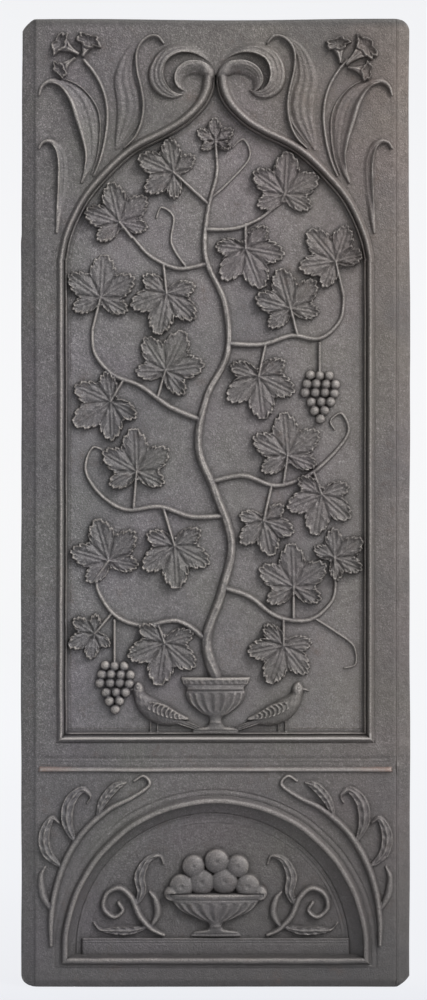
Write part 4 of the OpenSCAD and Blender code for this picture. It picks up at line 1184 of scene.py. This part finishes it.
class Nodes:
    """Short ways to make and join the nodes of a tree."""

    def __init__(self, tree):
        self.tree = tree

    def join(self, value, socket):
        """Gives a socket a number or a colour, or links it to another."""
        if isinstance(value, tuple):
            socket.default_value = (*value, 1)
        elif isinstance(value, (int, float)):
            socket.default_value = value
        else:
            self.tree.links.new(value, socket)

    def add(self, kind, *values, **sets):
        """A node with some settings, and values for its first sockets."""
        n = self.tree.nodes.new("ShaderNode" + kind)
        for key, value in sets.items():
            setattr(n, key, value)
        for i, value in enumerate(values):
            self.join(value, n.inputs[i])
        return n

    def math(self, operation, *values):
        return self.add("Math", *values, operation=operation).outputs[0]

    def times(self, first, *rest):
        """The product of all the values."""
        for value in rest:
            first = self.math("MULTIPLY", first, value)
        return first

    def ranged(self, value, a, b, c, d):
        """Carries the range from a to b over to the range from c to d."""
        return self.add("MapRange", value, a, b, c, d, clamp=True).outputs[0]

    def blend(self, fac, a, b, mode="MIX"):
        n = self.add("Mix", fac, data_type="RGBA", blend_type=mode)
        self.join(a, n.inputs[6])
        self.join(b, n.inputs[7])
        return n.outputs[2]


def new_material(name):
    """A material with an empty tree, its place on the object, and that place's three parts."""
    m = bpy.data.materials.new(name)
    m.use_nodes = True
    m.node_tree.nodes.clear()
    nodes = Nodes(m.node_tree)
    place = nodes.add("TexCoord").outputs["Object"]
    return m, nodes, place, nodes.add("SeparateXYZ", place).outputs


def iron(name, tone, wear_and_highlight=1.0, rough=0.56, back=False):
    """Cast iron: clouded, pitted and smoked, with painted glints in its grain, painted shade in its hollows
    and along its top edge, crests rubbed bright with a painted highlight on them, and a rough back.
    """
    m, nodes, place, (x, y, z) = new_material(name)
    math_node, times, ranged, blend = nodes.math, nodes.times, nodes.ranged, nodes.blend

    def noise(scale, detail=3.0, rough_in=0.55):
        n = nodes.add("TexNoise", place)
        for key, value in (("Scale", scale), ("Detail", detail), ("Roughness", rough_in)):
            n.inputs[key].default_value = value
        return n.outputs["Fac"]

    def toned(r, g=None, b=None):
        """The iron's own tone, made lighter or darker."""
        return tone[0] * r, tone[1] * (r if g is None else g), tone[2] * (r if b is None else b)

    # the grain of the casting, from clouds a hand wide down to the sand
    cloud, patchy, mottle = noise(5.0, 2.0), noise(26.0, 4.0, 0.6), noise(150.0, 3.0, 0.6)
    grain, fine = noise(610.0, 3.0, 0.75), noise(1500.0, 2.0, 0.6)
    hue, smoke = noise(9.0, 2.0), noise(13.0, 2.0)

    colour = blend(ranged(cloud, 0.32, 0.68, 0, 1), toned(0.92), toned(1.08))
    spread = ranged(math_node("ADD", cloud, times(z, 0.22)), 0.42, 0.75, 0.30, 0.75)
    above = math_node("MAXIMUM", math_node("SUBTRACT", z, 0.5), 0.0)
    lean = math_node("MULTIPLY_ADD", above, 0.5, x)
    slope = math_node("SUBTRACT", z, times(x, 0.35))
    rust = times(ranged(patchy, 0.56, 0.74, 0, 1), ranged(mottle, 0.45, 0.7, 0.1, 1))
    for fac, tint, mode in (
        (ranged(hue, 0.51, 0.63, 0, 1), (0.975, 1.012, 0.935), "MULTIPLY"),
        (ranged(hue, 0.49, 0.37, 0, 1), (1.028, 0.982, 1.045), "MULTIPLY"),
        (ranged(patchy, 0.35, 0.7, 0, 0.4), toned(1.34), "MIX"),
        (ranged(mottle, 0.40, 0.72, 0, 0.45), toned(0.66), "MIX"),
        (times(ranged(grain, 0.53, 0.70, 0, 1), spread), toned(3.0), "MIX"),  # bright specks: painted glints of the grain, more of them towards the top
        (ranged(grain, 0.46, 0.30, 0, 0.6), toned(0.42), "MIX"),  # pits
        # the changes over the whole plate: warmer to the right and upwards, darker at the foot, and a painted
        # shade over the top
        (ranged(x, -0.14, 0.2, 0.0, 0.34), toned(1.28, 1.06, 0.92), "MIX"),
        (ranged(lean, -0.17, 0.34, 1, 0), (1.005, 1.0, 1.06), "MULTIPLY"),
        (ranged(lean, 0.20, 0.40, 0, 1), (1.045, 1.0, 0.955), "MULTIPLY"),
        (ranged(above, 0.0, 0.40, 0, 1), (1.035, 1.0, 1.0), "MULTIPLY"),
        (ranged(slope, 0.16, -0.04, 0.0, 0.78), toned(0.6, 0.6, 0.64), "MIX"),
        (ranged(smoke, 0.52, 0.70, 0, 0.4), toned(0.62, 0.64, 0.70), "MIX"),
        (ranged(z, 0.032, 0.004, 0, 0.3), toned(0.5), "MIX"),
        # painted shade towards the top, where the light falls strongest
        (ranged(z, 0.90, 0.965, 0, 0.3), toned(0.7), "MIX"),
        (times(rust, 0.22), (0.20, 0.118, 0.078), "MIX"),
    ):
        colour = blend(fac, colour, tint, mode)

    # painted shade in the hollows, and crests rubbed bright with a painted highlight on them: fewer low down,
    # at the head, at the right and along the rim
    crest = nodes.add("Attribute", attribute_name="crest").outputs["Fac"]
    colour = blend(ranged(crest, 0.45, 0.05, 0.0, 0.5), colour, toned(0.24, 0.23, 0.22))
    # rim: a painted shade along the plate's top edge, which faces up into the light; the crests there get no
    # painted highlight
    rim = ranged(z, 0.9585, 0.9645, 0, 0.85)
    crest_wear_and_highlight = times(
        ranged(crest, 0.55, 0.76, 0.0, 0.85 * wear_and_highlight),
        ranged(patchy, 0.25, 0.6, 0.45, 1),
        ranged(grain, 0.34, 0.62, 0.35, 1.25),
        ranged(z, 0.15, 0.24, 0.55, 1),
        ranged(z, 0.80, 0.87, 1, 0.8),
        ranged(x, 0.06, 0.14, 1, 0.72),
        math_node("SUBTRACT", 1.0, rim),
    )
    # the top edge's painted shade, then the crests' wear and painted highlight
    colour = blend(rim, colour, toned(0.62))
    colour = blend(crest_wear_and_highlight, colour, toned(2.9, 2.8, 2.7))
    if back:
        scale = ranged(noise(48.0, 5.0, 0.7), 0.36, 0.66, 0, 1)
        bare = blend(scale, (0.150, 0.139, 0.131), (0.088, 0.083, 0.080))
        bare = blend(ranged(noise(17.0, 5.0, 0.7), 0.48, 0.72, 0, 0.5), bare, (0.170, 0.098, 0.066))
        bare = blend(ranged(grain, 0.55, 0.70, 0, 0.6), bare, (0.30, 0.27, 0.25))
        colour = blend(ranged(y, 0.001, 0.003, 0, 1), colour, bare)
    if name == "iron_moulding":  # the cross bead and the sill bead get a painted highlight along their crests, as if lit from above; the first is rusty at its ends
        on_bead = math_node("ABSOLUTE", math_node("SUBTRACT", z, 0.2185))
        on_sill = math_node("ABSOLUTE", math_node("SUBTRACT", z, 0.249))
        bead_highlight = ranged(math_node("MINIMUM", on_bead, on_sill), 0.006, 0.0045, 0, 0.75)
        colour = blend(times(bead_highlight, ranged(crest, 0.56, 0.70, 0, 1)), colour, (0.40, 0.375, 0.36))
        end = ranged(math_node("ABSOLUTE", x), 0.135, 0.178, 0.05, 1)
        end = times(end, ranged(on_bead, 0.006, 0.003, 0, 0.6), ranged(mottle, 0.35, 0.6, 0.35, 1))
        colour = blend(end, colour, (0.26, 0.155, 0.115))

    height = math_node("ADD", times(grain, 1.0), times(fine, 0.35))
    height = math_node("ADD", height, times(mottle, 0.8))
    shader = nodes.add("BsdfPrincipled")
    bump = nodes.add("Bump")
    for node, key, value in (
        (bump, "Strength", 0.8),
        (bump, "Distance", 0.0014 if back else 0.0009),
        (bump, "Height", height),
        (shader, "Base Color", colour),
        (shader, "Metallic", 0.35),
        (shader, "Specular IOR Level", 0.5),
        (shader, "Roughness", ranged(mottle, 0.3, 0.75, rough - 0.14, rough + 0.10)),
        (shader, "Normal", bump.outputs[0]),
    ):
        nodes.join(value, node.inputs[key])
    nodes.add("OutputMaterial", shader.outputs[0])
    return m


MATERIALS = {
    "iron_border": iron("iron_border", (0.120, 0.115, 0.112), 0.9),
    # iron_ground is a lighter copy of the same iron: painted light that makes up for the shade over the
    # recessed panel
    "iron_ground": iron("iron_ground", (0.150, 0.145, 0.143), 0.9),
    "iron_moulding": iron("iron_moulding", (0.128, 0.122, 0.118), 0.95, 0.50),
    "iron_ornament": iron("iron_ornament", (0.124, 0.119, 0.116), 1.3, 0.54),
    "iron_back": iron("iron_back", (0.122, 0.117, 0.114), 0.6, 0.66, True),
}


# ---- build ----


def crest_map():
    """How high the relief stands on average round each place, on a grid of 1 mm over all front faces."""
    nx, nz = int(2 * HALF) + 3, int(TALL) + 3
    top = np.full((nz, nx), -1.0)

    def mark(f):
        i = np.clip(np.round(f[:, 0] + HALF).astype(int), 0, nx - 1)
        j = np.clip(np.round(f[:, 1]).astype(int), 0, nz - 1)
        np.maximum.at(top, (j, i), f[:, 2])

    for p in PIECES:
        mark(p["flat"])
        quads = p["flat"][p["faces"]]
        size = np.ptp(quads[:, :, :2], axis=1).max(1)
        for least, most, many in ((1.0, 2.4, 4), (2.4, 5, 8), (5, 12, 18)):
            q = quads[(size > least) & (size <= most)]
            shares = (np.arange(many) + 0.5) / many
            for u in shares:
                a, b = q[:, 0] * (1 - u) + q[:, 1] * u, q[:, 3] * (1 - u) + q[:, 2] * u
                for v in shares:
                    mark(a * (1 - v) + b * v)
    top[top < 0] = BASE

    def blurred(sigma):
        k = np.arange(-int(3 * sigma), int(3 * sigma) + 1)
        w = np.exp(-0.5 * (k / sigma) ** 2)
        w /= w.sum()
        t = np.pad(top, len(k) // 2, mode="edge")
        for axis in (0, 1):
            t = np.apply_along_axis(lambda r: np.convolve(r, w, "valid"), axis, t)
        return t

    def sampler(grid):
        def at(x, z):
            u, v = np.clip(x + HALF, 0, nx - 1.001), np.clip(z, 0, nz - 1.001)
            i, j = u.astype(int), v.astype(int)
            a, b = u - i, v - j
            low = grid[j, i] * (1 - a) * (1 - b) + grid[j, i + 1] * a * (1 - b)
            return low + grid[j + 1, i] * (1 - a) * b + grid[j + 1, i + 1] * a * b

        return at

    return sampler(blurred(2.0)), sampler(blurred(7.0))


def build(piece, near_mean, far_mean):
    """Makes a piece's mesh, in metres, and hands it to the frame in place of its CAD node."""
    flat, faces = piece["flat"], piece["faces"]
    me = bpy.data.meshes.new(piece["name"] + "_cast")
    co = np.stack([flat[:, 0], BACK - flat[:, 2], flat[:, 1]], 1) / MM
    me.vertices.add(len(co))
    me.vertices.foreach_set("co", co.astype(np.float32).ravel())
    me.loops.add(faces.size)
    me.loops.foreach_set("vertex_index", faces.astype(np.int32).ravel())
    me.polygons.add(len(faces))
    me.polygons.foreach_set("loop_start", np.arange(0, faces.size, 4, dtype=np.int32))
    me.update(calc_edges=True)
    me.validate()
    me.polygons.foreach_set("use_smooth", np.ones(len(me.polygons), bool))
    me.set_sharp_from_angle(angle=math.radians(piece["sharp"]))
    # crest: how far each point stands over the relief round it; the materials paint shade into the low places
    # and highlights onto the high ones
    over_near = flat[:, 2] - near_mean(flat[:, 0], flat[:, 1])
    over_far = flat[:, 2] - far_mean(flat[:, 0], flat[:, 1])
    rise = over_near + 0.3 * np.minimum(over_far, 0) + 0.1 * np.maximum(over_far, 0)
    crest = me.attributes.new("crest", "FLOAT", "POINT")
    crest.data.foreach_set("value", np.clip(0.5 + rise / 6.5, 0, 1).astype(np.float32))
    o = bpy.data.objects.new(piece["name"] + "_cast", me)
    bpy.context.scene.collection.objects.link(o)
    me.materials.append(MATERIALS[piece["slot"]])
    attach(o, "root")
    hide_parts(*piece["nodes"])


make_back()
make_bevels()
make_boards()
make_mouldings()
make_cross_bead()
make_ribs()
make_coves()
make_ledge()
make_head()
make_trunk()
make_branches()
make_bunches()
make_urn()
make_birds()
make_bowl()
make_scrolls()
maps = crest_map()
for one_piece in PIECES:
    build(one_piece, *maps)


# ---- floor, light, camera ----


def seen_rays(nodes):
    """1 for the rays that show the backdrop: seen directly, in gloss and through glass."""
    path = nodes.add("LightPath").outputs
    seen = path["Is Camera Ray"]
    for kind in ("Is Glossy Ray", "Is Transmission Ray"):
        seen = nodes.math("MAXIMUM", seen, path[kind])
    return seen


# The backdrop's pale tints, by how far back and up a place lies
NEAREST, FARTHEST = -0.1, 15.0
TINTS = [(NEAREST, (0.850, 0.867, 0.912)), (0.06, (0.895, 0.905, 0.940)), (0.7, (0.912, 0.922, 0.955)),
    (2.5, (0.945, 0.955, 0.980)), (9.0, (0.984, 0.988, 1.0)), (11.5, (0.980, 0.984, 1.0)),
    (FARTHEST, (0.930, 0.938, 0.962))]


def sweep():
    """The floor, which curves up into the backdrop."""
    half_width, under, bend = 12.0, 0.0002, np.linspace(0.15, math.pi / 2, 10)
    rows = [(-9.0, 0.0), (-1.0, 0.0), (7.0, 0.0)]
    rows += [(7.0 + 2 * math.sin(a), 2 - 2 * math.cos(a)) for a in bend]
    rows += [(9.0, 9.0)]
    verts = [(x, y, z - under) for y, z in rows for x in (-half_width, half_width)]
    faces = [(2 * i, 2 * i + 1, 2 * i + 3, 2 * i + 2) for i in range(len(rows) - 1)]
    me = bpy.data.meshes.new("studio_sweep")
    me.from_pydata(verts, [], faces)
    me.polygons.foreach_set("use_smooth", [True] * len(faces))
    o = bpy.data.objects.new("studio_sweep", me)
    bpy.context.scene.collection.objects.link(o)

    m, nodes, _, (_, y, z) = new_material("studio_white")
    run = nodes.math("MULTIPLY_ADD", z, 2.0, y)
    ramp = nodes.add("ValToRGB", nodes.ranged(run, NEAREST, FARTHEST, 0, 1))
    stops = ramp.color_ramp.elements
    for stop, (_, tint) in ((stops[0], TINTS[0]), (stops[1], TINTS[-1])):
        stop.color = (*tint, 1)
    stops[0].position, stops[1].position = 0.0, 1.0
    for at, tint in TINTS[1:-1]:
        stops.new((at - NEAREST) / (FARTHEST - NEAREST)).color = (*tint, 1)
    paint = nodes.add("BsdfDiffuse", (0.55, 0.55, 0.55))
    glow = nodes.add("Emission", ramp.outputs[0])
    part = nodes.times(seen_rays(nodes), 0.93)
    mix = nodes.add("MixShader", part, paint.outputs[0], glow.outputs[0])
    nodes.add("OutputMaterial", mix.outputs[0])
    me.materials.append(m)


def lamp(name, place, aim, size, power, tint):
    """A square area light that looks at a height over the middle of the foot."""
    d = bpy.data.lights.new(name, "AREA")
    d.shape = "RECTANGLE"
    d.size = d.size_y = size
    d.energy = power
    d.color = tint
    o = bpy.data.objects.new(name, d)
    o.location = place
    bpy.context.scene.collection.objects.link(o)
    o.rotation_mode = "QUATERNION"
    o.rotation_quaternion = (Vector((0, 0, aim)) - Vector(place)).to_track_quat("-Z", "Y")


def studio():
    world = bpy.data.worlds.new("studio")
    bpy.context.scene.world = world
    world.use_nodes = True
    nodes = Nodes(world.node_tree)
    back = world.node_tree.nodes["Background"]
    nodes.join((0.96, 0.98, 1.0), back.inputs["Color"])
    nodes.join(nodes.ranged(seen_rays(nodes), 0, 1, 0.262, 0.92), back.inputs["Strength"])
    lamp("key", (3.4, -2.9, 3.6), 0.45, 4.2, 281, (1.0, 0.985, 0.97))
    lamp("rear", (-2.6, 3.6, 2.6), 0.5, 2.5, 80, (1.0, 0.99, 0.98))
    lamp("glint", (1.9, -2.2, 3.4), 0.45, 0.25, 46, (1.0, 0.99, 0.98))

    # the camera sees the border's face over a picture a metre high
    sensor, away = 36, 2.6
    cam = bpy.data.cameras.new("camera")
    cam.lens = sensor * (away - (BORDER - BACK) / MM) * 1.0015
    cam.sensor_width = sensor
    cam.clip_start, cam.clip_end = 0.05, 50
    o = bpy.data.objects.new("camera", cam)
    o.location = (-0.002, -away, 0.4868)
    o.rotation_euler = (math.pi / 2, 0, 0)
    bpy.context.scene.collection.objects.link(o)
    bpy.context.scene.camera = o
    bpy.context.scene.view_settings.view_transform = "Standard"


sweep()
studio()
